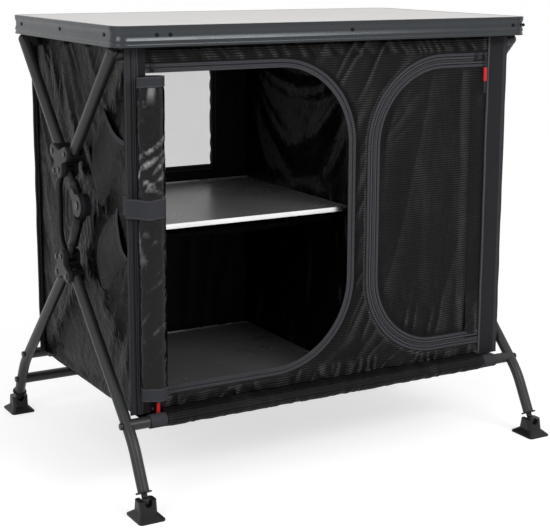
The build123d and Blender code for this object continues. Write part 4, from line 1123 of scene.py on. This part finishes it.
def turned(name, start, way, rings, material, sides=40):
    """Round piece along a direction from rings of (distance, radius)."""
    way = np.asarray(way, float) / np.linalg.norm(way)
    across = np.array([1.0, 0, 0])
    distance, radii = np.array(rings).T
    middles = np.asarray(start) + distance[:, None] * way
    turn = np.linspace(0, 2 * math.pi, sides, endpoint=False)
    round_it = np.cos(turn)[:, None] * across + np.sin(turn)[:, None] * np.cross(way, across)
    cells = middles[:, None] + radii[:, None, None] * round_it[None]
    uvs = np.stack(np.broadcast_arrays(turn[None, :] * 0.01, distance[:, None]), -1)
    faces = quads(len(rings), sides, True)
    faces += [tuple(range(sides))[::-1], tuple((len(rings) - 1) * sides + c for c in range(sides))]
    return build(name, cells.reshape(-1, 3), faces, uvs.reshape(-1, 2), [material])


cap_rings = [(0.0, 0.0103)] + [(0.0098 * math.sin(a), 0.0103 * math.cos(a)) for a in np.linspace(0.1, 1.5, 9)]
caps = [
    turned("cap", (side * LINK_X, end * 0.2188, 0.7944), (0, end * 0.693, 0.7205), cap_rings, TUBE)
    for side in (-1, 1)
    for end in (-1, 1)
]
settle(join("strut_caps", caps), "frame_tube", body="upper_frame", squashes=False)
KNUCKLE_Y, KNUCKLE_Z = -0.064, 0.508
for part, pin_z, low, high in (("upper", 0.566, 0.030, 0.0445), ("lower", 0.402, 0.027, 0.0820)):
    rings = [(low, 0.0072), (low + 0.0015, 0.0096), (high - 0.001, 0.0098), (high, 0.0080)]
    for word, side in (("left", -1), ("right", 1)):
        name, start = f"{part}_link_sleeve_{word}", (side * LINK_X, 0, pin_z)
        # The sleeves take the link plastic, darker inboard as painted shade.
        sleeve = turned(name, start, (0, KNUCKLE_Y, KNUCKLE_Z - pin_z), rings, LINK)
        settle(sleeve, "hub_plastic", body=f"{part}_link_{word}", squashes=False)


# Zip sliders and pulls


SLIDER_Y = -HALF_Y - 0.0012


def blocks(name, body, slot, replaced, *shapes):
    """Rounded blocks joined into one piece; each is (name, centre, size, rounding, material)."""
    settle(join(name, [block(*shape) for shape in shapes]), slot, *replaced, body=body, squashes=False)


for name, x, z, body, replaced in (
    ("slider_moving", 0.336, 0.7635, "slider", ["door_slider"]),
    ("slider_parked", 0.354, 0.7635, "upper_frame", ["zip_sliders"]),
    ("slider_top_left", -0.362, 0.767, "upper_frame", []),
    ("slider_low_left", -0.362, 0.1755, "lower_frame", ["left_slider"]),
):
    blocks(
        name, body, "black_plastic", replaced,
        (f"{name}_body", (x, SLIDER_Y - 0.0017, z), (0.0085, 0.0030, 0.0130), 0.0011, BLACK),
        (f"{name}_bridge", (x, SLIDER_Y - 0.0040, z), (0.0030, 0.0022, 0.0085), 0.0009, BLACK),
    )
blocks(
    "door_pull_grip", "door_pull", "red_plastic", ["door_pull"],
    ("grip_neck", (0.354, -0.2353, 0.7530), (0.0030, 0.0018, 0.0220), 0.0007, BLACK),
    ("grip", (0.354, -0.2357, 0.7285), (0.0072, 0.0032, 0.0270), 0.0012, RED),
    ("grip_end", (0.3535, -0.2357, 0.7035), (0.0056, 0.0026, 0.0250), 0.0011, BLACK),
)
blocks(
    "left_pull_grip", "left_pull", "red_plastic", ["left_pull"],
    ("left_neck", (-0.362, -0.2353, 0.1720), (0.0030, 0.0018, 0.0090), 0.0007, BLACK),
    ("left_grip", (-0.362, -0.2362, 0.1560), (0.0070, 0.0032, 0.0300), 0.0012, RED),
)


# Floor, light and camera: what the camera sees of floor and world is brighter than what lights the cloth
floor_paint = Shader("studio_floor")
grit = floor_paint.noise(floor_paint.coords(), 40.0, 3.0)
floor_paint.tint(grit, (0.53, 0.53, 0.53), (0.56, 0.56, 0.56))
floor_paint.set(Roughness=0.9, Specular_IOR_Level=0.05, Emission_Color=(1, 1, 1, 1))
floor_paint.set(Emission_Strength=floor_paint.times(floor_paint.seen(), 0.64))
corners = [(-30, -30, 0), (30, -30, 0), (30, 30, 0), (-30, 30, 0)]
build("studio_ground", corners, [(0, 1, 2, 3)], [c[:2] for c in corners], [floor_paint.material], False)

scene.world = bpy.data.worlds.new("studio")
scene.world.use_nodes = True
sky = Nodes(scene.world.node_tree)
background = sky.tree.nodes["Background"].inputs
background["Color"].default_value = (1, 1, 1, 1)
sky.put(sky.spread(sky.seen(), 0, 1, 0.62, 1.0), background["Strength"])


def lamp(name, place, target, size, power):
    light = bpy.data.lights.new(name, "AREA")
    light.shape = "RECTANGLE"
    light.size, light.size_y = size
    light.energy = power
    obj = bpy.data.objects.new(name, light)
    obj.location = place
    obj.rotation_euler = (Vector(target) - Vector(place)).to_track_quat("-Z", "Y").to_euler()
    scene.collection.objects.link(obj)


lamp("key", (-3.0, -1.6, 1.9), (0, 0, 0.45), (1.5, 1.5), 30)
lamp("front", (0.9, -2.9, 2.5), (0, 0, 0.45), (1.8, 1.0), 46)

# Camera as fitted to straight edges of the photo, its focal length in pixels of a 550 wide picture
CAMERA = (-1.3322, -2.3389, 0.9550)
YAW, PITCH, ROLL, FOCAL = math.radians(29.922), math.radians(11.540), math.radians(0.212), 1349.3
camera = bpy.data.cameras.new("photo_view")
camera.sensor_width = 36
camera.lens = FOCAL * camera.sensor_width / 550
camera.shift_y = -0.06
camera.clip_end = 100
camera_object = bpy.data.objects.new("photo_view", camera)
forward = Vector((math.sin(YAW) * math.cos(PITCH), math.cos(YAW) * math.cos(PITCH), -math.sin(PITCH)))
right = Vector((math.cos(YAW), -math.sin(YAW), 0))
above = right.cross(forward)
right, above = right * math.cos(ROLL) + above * math.sin(ROLL), above * math.cos(ROLL) - right * math.sin(ROLL)
axes = Matrix((right, above, -forward)).transposed()
camera_object.matrix_world = Matrix.Translation(CAMERA) @ axes.to_4x4()
scene.collection.objects.link(camera_object)
scene.camera = camera_object
scene.view_settings.view_transform = "Standard"
